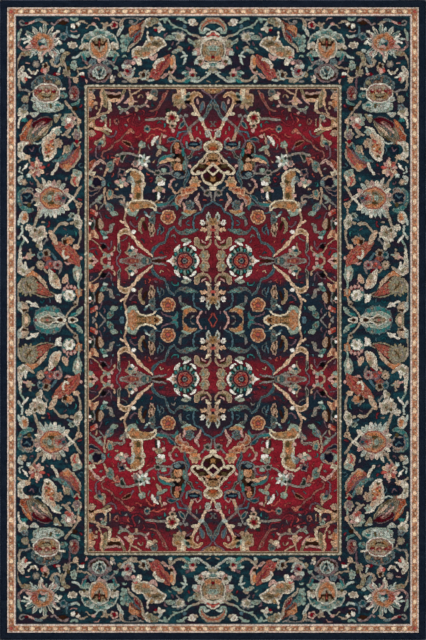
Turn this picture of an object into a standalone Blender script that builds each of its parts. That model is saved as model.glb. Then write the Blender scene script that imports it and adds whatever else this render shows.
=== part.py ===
"""A machine-woven area rug, lying flat: pile tufts in five design zones, the yarn layers of the ground weave,
a latex coat on the back, and a serged edge of cords, side and end serging and hand-wrapped corners.

+X runs across the rug, +Y along it towards the far end, +Z up out of the pile. The origin is the middle of
the underside, on the floor. Units are metres.
"""

import math

import bmesh
import bpy

# Overall size
RUG_WIDTH = 1.600
RUG_LENGTH = 2.400
CORNER_RADIUS = 0.008

# Layers, from the floor up
COAT_THICKNESS = 0.0007
WEFT_THICKNESS = 0.0008
STUFFER_THICKNESS = 0.0008
PILE_HEIGHT = 0.0067
GAP = 0.0003

# Serged edge: cord in the middle, serging yarn wrapped round it and round the edge of the ground weave
CORD_RADIUS = 0.0015
SERGING_WALL = 0.0007
SERGING_LIP = 0.0022

# Design zones of the pile, each as wide as it is woven
EDGE_BAND_WIDTH = 0.0207
OUTER_GUARD_WIDTH = 0.035
MAIN_BORDER_WIDTH = 0.255
INNER_GUARD_WIDTH = 0.0175

# Fineness of the round shapes
CORNER_STEPS = 5
WRAP_STEPS = 8
CORD_SIDES = 10

# Heights of the layers. The lowest weft clears both the coat and the serging that turns in under it.
COAT_TOP = COAT_THICKNESS
LOWER_WEFT_BASE = max(COAT_TOP, SERGING_WALL) + GAP
LOWER_WEFT_TOP = LOWER_WEFT_BASE + WEFT_THICKNESS
STUFFER_BASE = LOWER_WEFT_TOP + GAP
STUFFER_TOP = STUFFER_BASE + STUFFER_THICKNESS
UPPER_WEFT_BASE = STUFFER_TOP + GAP
UPPER_WEFT_TOP = UPPER_WEFT_BASE + WEFT_THICKNESS
PILE_BASE = UPPER_WEFT_TOP + GAP
PILE_TOP = PILE_BASE + PILE_HEIGHT

# The serging's section: round over the cord or the weave's edge, whichever is thicker, with lips on the weave
LIP_BASE = UPPER_WEFT_TOP + GAP
LIP_TOP = LIP_BASE + SERGING_WALL
WRAP_INNER_RADIUS = max(CORD_RADIUS + GAP, (LIP_BASE - SERGING_WALL) / 2)
SERGING_RADIUS = WRAP_INNER_RADIUS + SERGING_WALL
WEAVE_INSET = SERGING_RADIUS + CORD_RADIUS + GAP
SERGING_DEPTH = WEAVE_INSET + SERGING_LIP
PILE_INSET = SERGING_DEPTH + GAP

DYES = {
    "navy": (0.008, 0.012, 0.020),
    "crimson": (0.190, 0.012, 0.020),
    "cream": (0.480, 0.370, 0.240),
    "rust": (0.330, 0.120, 0.050),
    "sage": (0.250, 0.220, 0.150),
    "cotton": (0.560, 0.500, 0.400),
    "jute": (0.400, 0.290, 0.170),
    "latex": (0.420, 0.380, 0.310),
}


def yarn(name, roughness=0.9):
    """A dyed yarn: fully rough and never metallic."""
    material = bpy.data.materials.new(name)
    material.use_nodes = True
    shader = material.node_tree.nodes["Principled BSDF"]
    shader.inputs["Base Color"].default_value = (*DYES[name.split("_")[0]], 1)
    shader.inputs["Roughness"].default_value = roughness
    shader.inputs["Metallic"].default_value = 0
    return material


def add_object(name, mesh_builder, material):
    """Turns a bmesh into a named object with outward faces."""
    bmesh.ops.recalc_face_normals(mesh_builder, faces=mesh_builder.faces)
    mesh = bpy.data.meshes.new(name)
    mesh_builder.to_mesh(mesh)
    mesh_builder.free()
    mesh.materials.append(material)
    made = bpy.data.objects.new(name, mesh)
    bpy.context.scene.collection.objects.link(made)
    made.parent = rug
    return made


def rounded_outline(inset):
    """The rug's outline, that far in from its edge, anticlockwise from the right side's near corner."""
    radius = CORNER_RADIUS - inset
    half_x = RUG_WIDTH / 2 - CORNER_RADIUS
    half_y = RUG_LENGTH / 2 - CORNER_RADIUS
    if radius <= GAP:
        half_x = RUG_WIDTH / 2 - inset
        half_y = RUG_LENGTH / 2 - inset
        return [(half_x, -half_y), (half_x, half_y), (-half_x, half_y), (-half_x, -half_y)]
    points = []
    for quarter, (side_x, side_y) in enumerate(((1, -1), (1, 1), (-1, 1), (-1, -1))):
        for step in range(CORNER_STEPS + 1):
            angle = math.radians(90 * (quarter - 1 + step / CORNER_STEPS))
            points.append((side_x * half_x + radius * math.cos(angle), side_y * half_y + radius * math.sin(angle)))
    return points


def slab(name, inset, base, top, material):
    """A layer that fills the rug's outline, that far in from its edge."""
    builder = bmesh.new()
    face = builder.faces.new([builder.verts.new((x, y, base)) for x, y in rounded_outline(inset)])
    extruded = bmesh.ops.extrude_face_region(builder, geom=[face])
    risen = [item for item in extruded["geom"] if isinstance(item, bmesh.types.BMVert)]
    bmesh.ops.translate(builder, verts=risen, vec=(0, 0, top - base))
    return add_object(name, builder, material)


def frame_slab(name, outer_inset, inner_inset, material):
    """A zone of the pile that runs all round the rug, between two insets from its edge."""
    builder = bmesh.new()
    outlines = rounded_outline(outer_inset), rounded_outline(inner_inset)
    loops = []
    for outline in outlines:
        points = [builder.verts.new((x, y, PILE_BASE)) for x, y in outline]
        loops.append([builder.edges.new((points[i - 1], points[i])) for i in range(len(points))])
    bmesh.ops.bridge_loops(builder, edges=loops[0] + loops[1])
    extruded = bmesh.ops.extrude_face_region(builder, geom=builder.faces[:])
    risen = [item for item in extruded["geom"] if isinstance(item, bmesh.types.BMVert)]
    bmesh.ops.translate(builder, verts=risen, vec=(0, 0, PILE_HEIGHT))
    return add_object(name, builder, material)


def wrap_arc(radius, lip_height):
    """An arc round the cord as (depth, height), from the upper lip round the rug's edge to the lower lip."""
    middle = SERGING_RADIUS
    first = math.asin(min((lip_height - middle) / radius, 1))
    last = 1.5 * math.pi
    arc = []
    for step in range(WRAP_STEPS + 1):
        angle = first + (last - first) * step / WRAP_STEPS
        arc.append((middle + radius * math.cos(angle), middle + radius * math.sin(angle)))
    return arc


def serging_section():
    """The serging's section as (depth in from the rug's edge, height): a C that opens inwards."""
    outer = wrap_arc(SERGING_RADIUS, LIP_TOP)
    inner = wrap_arc(WRAP_INNER_RADIUS, LIP_BASE)
    top_lip = [(SERGING_DEPTH, LIP_BASE), (SERGING_DEPTH, LIP_TOP)]
    bottom_lip = [(SERGING_DEPTH, 0), (SERGING_DEPTH, SERGING_WALL)]
    return top_lip + outer + bottom_lip + inner[::-1]


def serging_face(builder, half_span):
    """The section's face, upright at one end of a straight stretch along Y whose edge lies half_span along +X."""
    points = [builder.verts.new((half_span - depth, 0, height)) for depth, height in serging_section()]
    return builder.faces.new(points)


def straight_serging(name, turns, half_span, half_run, material):
    """Serging along one side or end. It is made on the +X side and turned by quarter turns."""
    builder = bmesh.new()
    face = serging_face(builder, half_span)
    bmesh.ops.translate(builder, verts=builder.verts, vec=(0, -half_run, 0))
    extruded = bmesh.ops.extrude_face_region(builder, geom=[face])
    moved = [item for item in extruded["geom"] if isinstance(item, bmesh.types.BMVert)]
    bmesh.ops.translate(builder, verts=moved, vec=(0, 2 * half_run, 0))
    made = add_object(name, builder, material)
    made.rotation_euler.z = math.radians(90 * turns)
    return made


def corner_wrap(name, side_x, side_y, material):
    """The serging yarn round one corner: the section spun a quarter turn about the corner's centre."""
    builder = bmesh.new()
    face = serging_face(builder, CORNER_RADIUS)
    bmesh.ops.spin(
        builder,
        geom=[face, *face.edges, *face.verts],
        cent=(0, 0, 0),
        axis=(0, 0, 1),
        angle=math.radians(90),
        steps=CORNER_STEPS,
    )
    made = add_object(name, builder, material)
    made.location = (side_x * (RUG_WIDTH / 2 - CORNER_RADIUS), side_y * (RUG_LENGTH / 2 - CORNER_RADIUS), 0)
    first_turn = {(1, 1): 0, (-1, 1): 1, (-1, -1): 2, (1, -1): 3}[side_x, side_y]
    made.rotation_euler.z = math.radians(90 * first_turn)
    return made


def edge_cord(name, turns, half_span, half_run, material):
    """The filler cord of one side or end. It turns half of each corner, and meets the next cord there."""
    turn_radius = CORNER_RADIUS - SERGING_RADIUS
    straight = half_run - CORNER_RADIUS
    last_angle = 45 - math.degrees(GAP / 2 / turn_radius)
    quarter = []
    for step in range(CORNER_STEPS + 1):
        angle = math.radians(last_angle * step / CORNER_STEPS)
        offset_x = half_span - CORNER_RADIUS + turn_radius * math.cos(angle)
        quarter.append((offset_x, straight + turn_radius * math.sin(angle), angle))
    path = [(x, -y, -angle) for x, y, angle in reversed(quarter)] + quarter
    builder = bmesh.new()
    rings = []
    for x, y, angle in path:
        ring = []
        for side in range(CORD_SIDES):
            around = 2 * math.pi * side / CORD_SIDES
            out = CORD_RADIUS * math.cos(around)
            up = SERGING_RADIUS + CORD_RADIUS * math.sin(around)
            ring.append(builder.verts.new((x + out * math.cos(angle), y + out * math.sin(angle), up)))
        rings.append(ring)
    for ring, after in zip(rings, rings[1:]):
        for side in range(CORD_SIDES):
            builder.faces.new((ring[side - 1], ring[side], after[side], after[side - 1]))
    builder.faces.new(rings[0])
    builder.faces.new(rings[-1])
    made = add_object(name, builder, material)
    made.rotation_euler.z = math.radians(90 * turns)
    return made


for leftover in list(bpy.data.objects):
    bpy.data.objects.remove(leftover)

rug = bpy.data.objects.new("rug", None)
bpy.context.scene.collection.objects.link(rug)

# Back coating and ground weave
slab("back_coating", PILE_INSET, 0, COAT_TOP, yarn("latex", 0.7))
slab("lower_weft", WEAVE_INSET, LOWER_WEFT_BASE, LOWER_WEFT_TOP, yarn("jute_lower"))
slab("stuffer_warp", WEAVE_INSET, STUFFER_BASE, STUFFER_TOP, yarn("cotton_stuffer"))
slab("upper_weft", WEAVE_INSET, UPPER_WEFT_BASE, UPPER_WEFT_TOP, yarn("jute_upper"))

# Pile zones, from the edge inwards, with a fine gap where one design zone is cut from the next
zones = (
    ("pile_edge_band", EDGE_BAND_WIDTH, "navy"),
    ("pile_outer_guard", OUTER_GUARD_WIDTH, "cream"),
    ("pile_main_border", MAIN_BORDER_WIDTH, "navy"),
    ("pile_inner_guard", INNER_GUARD_WIDTH, "sage"),
)
zone_start = PILE_INSET
for zone, zone_width, dye in zones:
    frame_slab(zone, zone_start, zone_start + zone_width - GAP, yarn(f"{dye}_{zone}"))
    zone_start += zone_width
slab("pile_field", zone_start, PILE_BASE, PILE_TOP, yarn("crimson_field"))

# Serged edge
serging_yarn = yarn("navy_serging", 0.8)
cord_yarn = yarn("cotton_cord")
side_run = RUG_LENGTH / 2
end_run = RUG_WIDTH / 2
edges = (
    ("side_serging_right", "side_cord_right", 0, end_run, side_run),
    ("end_serging_far", "end_cord_far", 1, side_run, end_run),
    ("side_serging_left", "side_cord_left", 2, end_run, side_run),
    ("end_serging_near", "end_cord_near", 3, side_run, end_run),
)
for serging_name, cord_name, quarter_turns, span, run in edges:
    straight_serging(serging_name, quarter_turns, span, run - CORNER_RADIUS - GAP, serging_yarn)
    edge_cord(cord_name, quarter_turns, span, run, cord_yarn)
corners = (
    ("corner_wrap_far_right", 1, 1),
    ("corner_wrap_far_left", -1, 1),
    ("corner_wrap_near_left", -1, -1),
    ("corner_wrap_near_right", 1, -1),
)
for corner_name, towards_x, towards_y in corners:
    corner_wrap(corner_name, towards_x, towards_y, serging_yarn)
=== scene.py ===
"""The looks of an area rug: machine-woven cut pile in a bordered floral design, around its CAD frame."""

import math

import bmesh
import bpy
import numpy as np
from mathutils import Matrix, Vector


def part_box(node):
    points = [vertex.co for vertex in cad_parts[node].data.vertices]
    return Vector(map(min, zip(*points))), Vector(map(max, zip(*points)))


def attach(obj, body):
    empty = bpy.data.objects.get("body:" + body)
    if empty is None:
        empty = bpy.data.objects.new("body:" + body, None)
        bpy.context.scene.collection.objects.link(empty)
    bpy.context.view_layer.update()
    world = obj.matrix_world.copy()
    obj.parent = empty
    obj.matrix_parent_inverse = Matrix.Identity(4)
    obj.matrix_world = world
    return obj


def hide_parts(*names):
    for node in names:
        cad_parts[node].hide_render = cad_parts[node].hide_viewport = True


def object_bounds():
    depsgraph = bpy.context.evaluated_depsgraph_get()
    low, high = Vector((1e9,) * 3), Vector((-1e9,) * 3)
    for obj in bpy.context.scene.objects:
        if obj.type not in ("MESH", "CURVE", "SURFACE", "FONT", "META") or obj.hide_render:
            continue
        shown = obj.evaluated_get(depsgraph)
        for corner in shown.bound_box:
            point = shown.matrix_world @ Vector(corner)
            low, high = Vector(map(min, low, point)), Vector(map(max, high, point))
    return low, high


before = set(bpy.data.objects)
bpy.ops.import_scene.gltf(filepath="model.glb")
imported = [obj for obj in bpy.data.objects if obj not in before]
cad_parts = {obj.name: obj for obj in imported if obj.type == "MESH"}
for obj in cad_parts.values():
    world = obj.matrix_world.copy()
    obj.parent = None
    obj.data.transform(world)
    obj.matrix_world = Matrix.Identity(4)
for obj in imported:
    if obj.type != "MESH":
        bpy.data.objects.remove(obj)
cad_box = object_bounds()
MM = 0.001

# Back coating. The whole underside of a machine-woven rug is sized: the jute weft floats over it in
# ribs across the rug, and a thin coat of latex, rolled on and dried, locks the tufts and fills the
# hollows. It is one stiff layer, flush with the serging round it.

BACK_RIB_PITCH = 4.2 * MM  # two wefts in each shed, so the ribs show at about twice the knot pitch
BACK_RIB_DEPTH = 0.35 * MM
WARP_PITCH = 2.5 * MM
RINGS_PER_YARN = 4
WAVE_TEXTURE_RATE = 20  # a Wave texture turns this many radians for each unit of its scale


def linear(text):
    """An sRGB hex colour as linear light."""
    srgb = np.array([int(text[i : i + 2], 16) / 255 for i in (1, 3, 5)])
    return np.where(srgb <= 0.04045, srgb / 12.92, ((srgb + 0.055) / 1.055) ** 2.4)


def material(name, base="#808080", roughness=0.85, specular=0.25, sheen=0.0, sheen_roughness=0.5):
    """A new material, its node tree and its Principled BSDF, with what is the same all over set on it."""
    made = bpy.data.materials.new(name)
    made.use_nodes = True
    shader = made.node_tree.nodes["Principled BSDF"]
    shader.inputs["Base Color"].default_value = (*linear(base), 1)
    shader.inputs["Roughness"].default_value = roughness
    shader.inputs["Specular IOR Level"].default_value = specular
    shader.inputs["Sheen Weight"].default_value = sheen
    shader.inputs["Sheen Roughness"].default_value = sheen_roughness
    return made, made.node_tree, shader


def add(tree, kind, links=None, values=None, **settings):
    """One node, with its settings, the values of its unlinked inputs, and the sockets that feed it."""
    made = tree.nodes.new("ShaderNode" + kind)
    for key, value in settings.items():
        setattr(made, key, value)
    for key, value in (values or {}).items():
        made.inputs[key].default_value = value
    for key, socket in (links or {}).items():
        tree.links.new(socket, made.inputs[key])
    return made


def ramp(tree, factor, *stops):
    """A Color Ramp of (place, sRGB hex) stops."""
    made = add(tree, "ValToRGB", {"Fac": factor})
    made.color_ramp.elements[0].position, made.color_ramp.elements[-1].position = stops[0][0], stops[-1][0]
    for place, _ in stops[1:-1]:
        made.color_ramp.elements.new(place)
    for element, (_, text) in zip(made.color_ramp.elements, stops):
        element.color = (*linear(text), 1)
    return made.outputs["Color"]


def bump(tree, shader, height, distance, strength=1.0):
    """Roughens a surface by a pattern, distance deep."""
    made = add(tree, "Bump", {"Height": height}, {"Strength": strength, "Distance": distance})
    tree.links.new(made.outputs["Normal"], shader.inputs["Normal"])


def finished(mesh_maker, name, look, slot, *nodes):
    """Turns a bmesh into a piece that rides on the rug and stands for its CAD nodes."""
    mesh = bpy.data.meshes.new(name)
    mesh_maker.to_mesh(mesh)
    mesh_maker.free()
    piece = bpy.data.objects.new(name, mesh)
    bpy.context.scene.collection.objects.link(piece)
    mesh.materials.append(look)
    mesh.polygons.foreach_set("use_smooth", np.full(len(mesh.polygons), True))
    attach(piece, "root")
    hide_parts(*nodes)
    return piece


def bands(pitch):
    """The scale of a Wave texture whose bands lie a pitch apart."""
    return 2 * math.pi / (pitch * WAVE_TEXTURE_RATE)


def ribbed_sheet(node, along, pitch, top_depth, bottom_depth):
    """A flat sheet of parallel yarns, one round rib for each. along is the axis that they run in: 0 or 1."""
    low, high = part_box(node)
    across = 1 - along
    yarns = round((high[across] - low[across]) / pitch)
    segments = [1, 1]
    segments[across] = yarns * RINGS_PER_YARN
    bm = bmesh.new()
    bmesh.ops.create_grid(bm, x_segments=segments[0], y_segments=segments[1], size=0.5)
    bmesh.ops.scale(bm, vec=(high.x - low.x, high.y - low.y, 1), verts=bm.verts)
    bmesh.ops.translate(bm, vec=((low.x + high.x) / 2, (low.y + high.y) / 2, high.z), verts=bm.verts)
    upper = list(bm.verts)
    lower = bmesh.ops.extrude_face_region(bm, geom=list(bm.faces))["geom"]
    lower = [v for v in lower if isinstance(v, bmesh.types.BMVert)]
    real_pitch = (high[across] - low[across]) / yarns
    for verts, level, depth in ((upper, high.z, -top_depth), (lower, low.z, bottom_depth)):
        for v in verts:
            hollow = 1 - abs(math.sin(math.pi * (v.co[across] - low[across]) / real_pitch))
            v.co.z = level + depth * hollow
    bmesh.ops.recalc_face_normals(bm, faces=bm.faces)
    return bm


# Latex-sized jute: dull tan-grey ribs, with painted shade darkening the slightly glossy hollows between them,
# and the colours of the tufts' feet faintly through it.
sized_back, tree, shader = material("latex_sized_jute_back", roughness=0.72, specular=0.35)
place = add(tree, "TexCoord").outputs["Object"]
ribs = add(tree, "TexWave", {"Vector": place}, {"Scale": bands(BACK_RIB_PITCH), "Distortion": 0.6,
           "Detail": 1.0, "Detail Scale": 3.0}, wave_type="BANDS", bands_direction="Y", wave_profile="SIN")
yarns = add(tree, "TexWave", {"Vector": place}, {"Scale": bands(WARP_PITCH), "Distortion": 0.4},
            wave_type="BANDS", bands_direction="X", wave_profile="SIN")
weave = add(tree, "Math", {0: ribs.outputs["Fac"], 1: yarns.outputs["Fac"]}, operation="MULTIPLY")
wear = add(tree, "TexNoise", {"Vector": place}, {"Scale": 14.0, "Detail": 6.0, "Roughness": 0.65})
cover = add(tree, "Math", {0: weave.outputs[0], 1: wear.outputs["Fac"]}, operation="ADD")
# Painted shade: the ramp runs dark where the weave pattern is low, in the hollows, and light on the ribs; the
# same pattern drives the bump.
tan = ramp(tree, cover.outputs[0], (0.35, "#57503f"), (0.75, "#8b8069"), (1.1, "#b3a687"))
tree.links.new(tan, shader.inputs["Base Color"])
bump(tree, shader, weave.outputs[0], 0.4 * MM)
finished(ribbed_sheet("back_coating", 0, BACK_RIB_PITCH, 0, BACK_RIB_DEPTH), "back_of_rug", sized_back,
         "back_coating", "back_coating")

# Ground weave. Two layers of jute weft with a layer of straight cotton stuffer warps between them,
# beaten up tight on the loom. The pile yarns are tied round the wefts, so nothing of it shows from above.

KNOT = 2.5 * MM  # one tuft: about 400 to the metre each way
YARN_HOLLOW = 0.3 * MM


def spun_yarn(name, dark, light, along, thickness):
    """A spun yarn's look: fibres that turn round it, so it is streaked on a slant across its length."""
    made, tree, shader = material(name, roughness=0.9, specular=0.2, sheen=0.2)
    place = add(tree, "TexCoord").outputs["Object"]
    turn = add(tree, "Mapping", {"Vector": place}, {"Rotation": (0, 0, math.radians(30 + 90 * along))})
    twist = add(tree, "TexWave", {"Vector": turn.outputs[0]}, {"Scale": bands(thickness), "Distortion": 2.5,
                "Detail": 2.0, "Detail Scale": 4.0}, bands_direction="X")
    fibres = add(tree, "TexNoise", {"Vector": place}, {"Scale": 900.0, "Detail": 4.0})
    both = add(tree, "Math", {0: twist.outputs["Fac"], 1: fibres.outputs["Fac"]}, operation="ADD")
    tree.links.new(ramp(tree, both.outputs[0], (0.4, dark), (1.3, light)), shader.inputs["Base Color"])
    bump(tree, shader, both.outputs[0], 0.15 * MM)
    return made


jute = spun_yarn("spun_jute_weft", "#6b5736", "#ab9468", 0, 1.4 * MM)
cotton = spun_yarn("spun_cotton_warp", "#a89f8c", "#dcd5c4", 1, 1.2 * MM)
finished(ribbed_sheet("lower_weft", 0, KNOT, YARN_HOLLOW, YARN_HOLLOW), "lower_weft_yarns", jute,
         "weft_yarn", "lower_weft")
finished(ribbed_sheet("stuffer_warp", 1, KNOT, YARN_HOLLOW, YARN_HOLLOW), "stuffer_warp_yarns", cotton,
         "warp_yarn", "stuffer_warp")
upper_weft = finished(ribbed_sheet("upper_weft", 0, KNOT, YARN_HOLLOW, YARN_HOLLOW), "upper_weft_yarns",
                      jute, "weft_yarn", "upper_weft")

# Edge cords. A firm cotton cord of three plies, laid along each side and each end inside the serging,
# gives the edge its round shape. The CAD rods are right, so they keep their shape and get the plies.

PLY_PITCH = 3.0 * MM
plied_cotton, tree, shader = material("plied_cotton_cord", "#d4cbb8", roughness=0.85, specular=0.2,
                                      sheen=0.2)
place = add(tree, "TexCoord").outputs["Object"]
plies = add(tree, "TexWave", {"Vector": place}, {"Scale": bands(PLY_PITCH), "Distortion": 0.5},
            bands_direction="DIAGONAL")
# Painted shade: the grooves between the plies are coloured darker, on the same bands that make the plies'
# bump.
plied = ramp(tree, plies.outputs["Fac"], (0.1, "#8d8370"), (0.6, "#ddd5c4"))
tree.links.new(plied, shader.inputs["Base Color"])
bump(tree, shader, plies.outputs["Fac"], 0.4 * MM)
for name in ("side_cord_left", "side_cord_right", "end_cord_far", "end_cord_near"):
    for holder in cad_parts[name].material_slots:
        holder.material = plied_cotton

# Serging. Heavy navy yarn is sewn over the cord all the way round, stitch beside stitch, and turns in
# under the rug and over its face in a short lip. Each stitch is a round ridge, pulled tight in between.

STITCH_PITCH = 3.2 * MM
STITCH_HOLLOW = 0.38 * MM
STITCH_LEAN = 1.1 * MM
LEAN_RUN_IN = 8  # the lean grows and fades over one eighth of a run at its ends
RINGS_PER_STITCH = 4
WRAP_POINTS = 9
SERGING_WALL = 0.7 * MM
CORNER_RADIUS = 8 * MM
JOIN_GAP = 0.3 * MM

serged_yarn, tree, shader = material("serged_polyester_yarn", roughness=0.75, specular=0.1, sheen=0.1)
place = add(tree, "TexCoord").outputs["Object"]
fibres = add(tree, "TexNoise", {"Vector": place}, {"Scale": 700.0, "Detail": 5.0, "Roughness": 0.7})
lots = add(tree, "TexNoise", {"Vector": place}, {"Scale": 9.0, "Detail": 3.0})
shade = add(tree, "Math", {0: fibres.outputs["Fac"], 1: lots.outputs["Fac"]}, operation="ADD")
tree.links.new(ramp(tree, shade.outputs[0], (0.7, "#101724"), (1.05, "#1a2331"), (1.35, "#2a3444")),
               shader.inputs["Base Color"])
bump(tree, shader, fibres.outputs["Fac"], 0.25 * MM)

serging_low, serging_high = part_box("side_serging_right")
serging_depth = serging_high.x - serging_low.x
serging_top = serging_high.z - serging_low.z
wrap_middle = serging_top / 2
rug_half = Vector((serging_high.x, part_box("end_serging_far")[1].y, 0))


def serging_section(bm, edge):
    """The serging's C-shaped section as one upright face, its round side at x = edge."""
    outline = []
    for step in range(WRAP_POINTS):
        angle = math.pi / 2 + math.pi * step / (WRAP_POINTS - 1)
        depth, height = wrap_middle * math.cos(angle), wrap_middle * math.sin(angle)
        outline.append((wrap_middle + depth, wrap_middle + height))
    inner = wrap_middle - SERGING_WALL
    outline += [(serging_depth, 0), (serging_depth, SERGING_WALL), (wrap_middle, SERGING_WALL)]
    outline += [(wrap_middle - inner, wrap_middle), (wrap_middle, serging_top - SERGING_WALL)]
    outline += [(serging_depth, serging_top - SERGING_WALL), (serging_depth, serging_top)]
    return bm.faces.new([bm.verts.new((edge - depth, 0, height)) for depth, height in outline])


def pull_in(v, edge_depth, along, stitches):
    """Draws a point of the yarn's outside in between two stitches. along is its share of the run, 0 to 1."""
    run_in = min(1, LEAN_RUN_IN * along, LEAN_RUN_IN * (1 - along))
    lean = STITCH_LEAN / STITCH_PITCH * (v.co.z / serging_top - 0.5) * run_in
    hollow = (1 - abs(math.sin(math.pi * (along * stitches + lean)))) * STITCH_HOLLOW
    if edge_depth > wrap_middle:
        if v.co.z > serging_top - SERGING_WALL / 2:
            v.co.z -= hollow
        elif v.co.z < SERGING_WALL / 2:
            v.co.z += hollow
        return 0
    off_middle = math.hypot(edge_depth - wrap_middle, v.co.z - wrap_middle)
    if off_middle < wrap_middle - SERGING_WALL / 2:
        return 0
    v.co.z += (wrap_middle - v.co.z) * hollow / off_middle
    return hollow * (wrap_middle - edge_depth) / off_middle


def turned(bm, quarters):
    """Turns a piece about the rug's middle by some quarter turns, with its faces outwards."""
    bmesh.ops.recalc_face_normals(bm, faces=bm.faces)
    turn = Matrix.Rotation(math.radians(90 * quarters), 3, "Z")
    bmesh.ops.rotate(bm, cent=(0, 0, 0), matrix=turn, verts=bm.verts)


for name, node, half_span, half_run, turns in (
    ("side_serging_stitches_right", "side_serging_right", rug_half.x, rug_half.y, 0),
    ("end_serging_stitches_far", "end_serging_far", rug_half.y, rug_half.x, 1),
    ("side_serging_stitches_left", "side_serging_left", rug_half.x, rug_half.y, 2),
    ("end_serging_stitches_near", "end_serging_near", rug_half.y, rug_half.x, 3),
):
    straight = 2 * (half_run - CORNER_RADIUS - JOIN_GAP)
    stitches = round(straight / STITCH_PITCH)
    bm = bmesh.new()
    face = serging_section(bm, half_span)
    bmesh.ops.translate(bm, vec=(0, -straight / 2, 0), verts=bm.verts)
    far_end = bmesh.ops.extrude_face_region(bm, geom=[face])["geom"]
    far_end = [item for item in far_end if isinstance(item, bmesh.types.BMVert)]
    bmesh.ops.translate(bm, vec=(0, straight, 0), verts=far_end)
    lengthwise = [edge for edge in bm.edges if edge.calc_length() > straight / 2]
    bmesh.ops.subdivide_edges(bm, edges=lengthwise, cuts=stitches * RINGS_PER_STITCH - 1)
    for v in bm.verts:
        v.co.x -= pull_in(v, half_span - v.co.x, v.co.y / straight + 0.5, stitches)
    turned(bm, turns)
    finished(bm, name, serged_yarn, "serging_yarn", node)

for name, node, turns, side_x, side_y in (
    ("corner_stitches_far_right", "corner_wrap_far_right", 0, 1, 1),
    ("corner_stitches_far_left", "corner_wrap_far_left", 1, -1, 1),
    ("corner_stitches_near_left", "corner_wrap_near_left", 2, -1, -1),
    ("corner_stitches_near_right", "corner_wrap_near_right", 3, 1, -1),
):
    stitches = round(math.pi / 2 * CORNER_RADIUS / STITCH_PITCH)
    bm = bmesh.new()
    face = serging_section(bm, CORNER_RADIUS)
    bmesh.ops.spin(bm, geom=[face, *face.edges, *face.verts], cent=(0, 0, 0), axis=(0, 0, 1),
                   angle=math.radians(90), steps=stitches * RINGS_PER_STITCH)
    for v in bm.verts:
        radius = math.hypot(v.co.x, v.co.y)
        pulled = pull_in(v, CORNER_RADIUS - radius, math.atan2(v.co.y, v.co.x) / (math.pi / 2), stitches)
        v.co.x *= 1 - pulled / radius
        v.co.y *= 1 - pulled / radius
    turned(bm, turns)
    middle = (side_x * (rug_half.x - CORNER_RADIUS), side_y * (rug_half.y - CORNER_RADIUS), 0)
    bmesh.ops.translate(bm, vec=middle, verts=bm.verts)
    finished(bm, name, serged_yarn, "serging_yarn", node)

# Field pile. Cut tufts of heat-set yarn, one for each point of the weaver's chart. The chart is drawn
# for one quarter of the rug and turned over both ways; only the ground's changing dye, the abrash, is
# woven straight through. Lengths in the chart are millimetres across and along from the rug's middle.

CELL = 1.25  # two chart cells to a tuft each way
CHART_COLUMNS = 640
CHART_ROWS = 960
OUTLINE = 0.74  # how far a dark outline covers the ground
INK_SHARE = 0.6  # of the outline over another motif
RIM_CREAM = 0.15
SPARE_CELLS = 5
WIDE_SHAPE = 90  # cells inside a shape from which it gets its rim, veins and touches
DARK_YARN = 0.06  # yarns darker than this stay plain
LOBED = (7, 24)  # discs with a radius between these, in millimetres, are lobed like leaves
YARNS = {
    "ink": "#0d0b0d", "navy": "#131d2a", "night": "#181422", "plum": "#33121d", "umber": "#2f1a10",
    "moss": "#1f2a24", "deep": "#133f46", "teal": "#2f6f6c", "steel": "#2e525c", "slate": "#48626a",
    "mauve": "#6a5259", "fog": "#7b7671", "sage": "#86998a", "mist": "#adb6aa", "ivory": "#efe8da",
    "cream": "#d8c7aa", "tan": "#aa8a72", "pink": "#bd9388", "rose": "#a64c44", "peach": "#d2a481",
    "apricot": "#b8744a", "ochre": "#9a7046", "khaki": "#8a7a5a", "olive": "#4b3f26", "rust": "#9a4528",
    "brick": "#8a2b22", "red": "#962029", "crimson": "#6a0c1a", "dim": "#772830", "shell": "#cfbcaf",
    "brass": "#bd8763", "clay": "#a5694e", "blossom": "#efc8a4", "stone": "#938a78",
    "bead": "#bab19b", "blush": "#dcba9b",
}
motif_colour = np.zeros((CHART_ROWS, CHART_COLUMNS, 3))
motif_cover = np.zeros((CHART_ROWS, CHART_COLUMNS))


def cloud(rows, columns, tall, wide, seed):
    """Soft blotches from -1 to 1, tall x wide cells each."""
    knots = np.random.default_rng(seed).uniform(-1, 1, (int(rows / tall) + 2, int(columns / wide) + 2))
    row, column = np.arange(rows) / tall, np.arange(columns) / wide
    r, c = row.astype(int), column.astype(int)
    t, s = (row - r)[:, None], (column - c)[None, :]
    t, s = t * t * (3 - 2 * t), s * s * (3 - 2 * s)
    near = knots[r][:, c] * (1 - s) + knots[r][:, c + 1] * s
    far = knots[r + 1][:, c] * (1 - s) + knots[r + 1][:, c + 1] * s
    return near * (1 - t) + far * t


chart_size = (CHART_ROWS, CHART_COLUMNS)
dye_lots = 1 + 0.22 * cloud(*chart_size, 7, 7, 1) + 0.24 * cloud(*chart_size, 3, 3, 2)
veins = cloud(*chart_size, 6, 6, 3) + 0.4 * cloud(*chart_size, 3, 3, 4)
tints = cloud(*chart_size, 7, 7, 9) + 0.4 * cloud(*chart_size, 3, 3, 10)
specks = cloud(*chart_size, 2.6, 2.6, 12)
wobble = [1.9 * cloud(*chart_size, 8, 8, 5 + k) + 1.8 * cloud(*chart_size, 3.2, 3.2, 7 + k) for k in (0, 1)]


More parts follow.
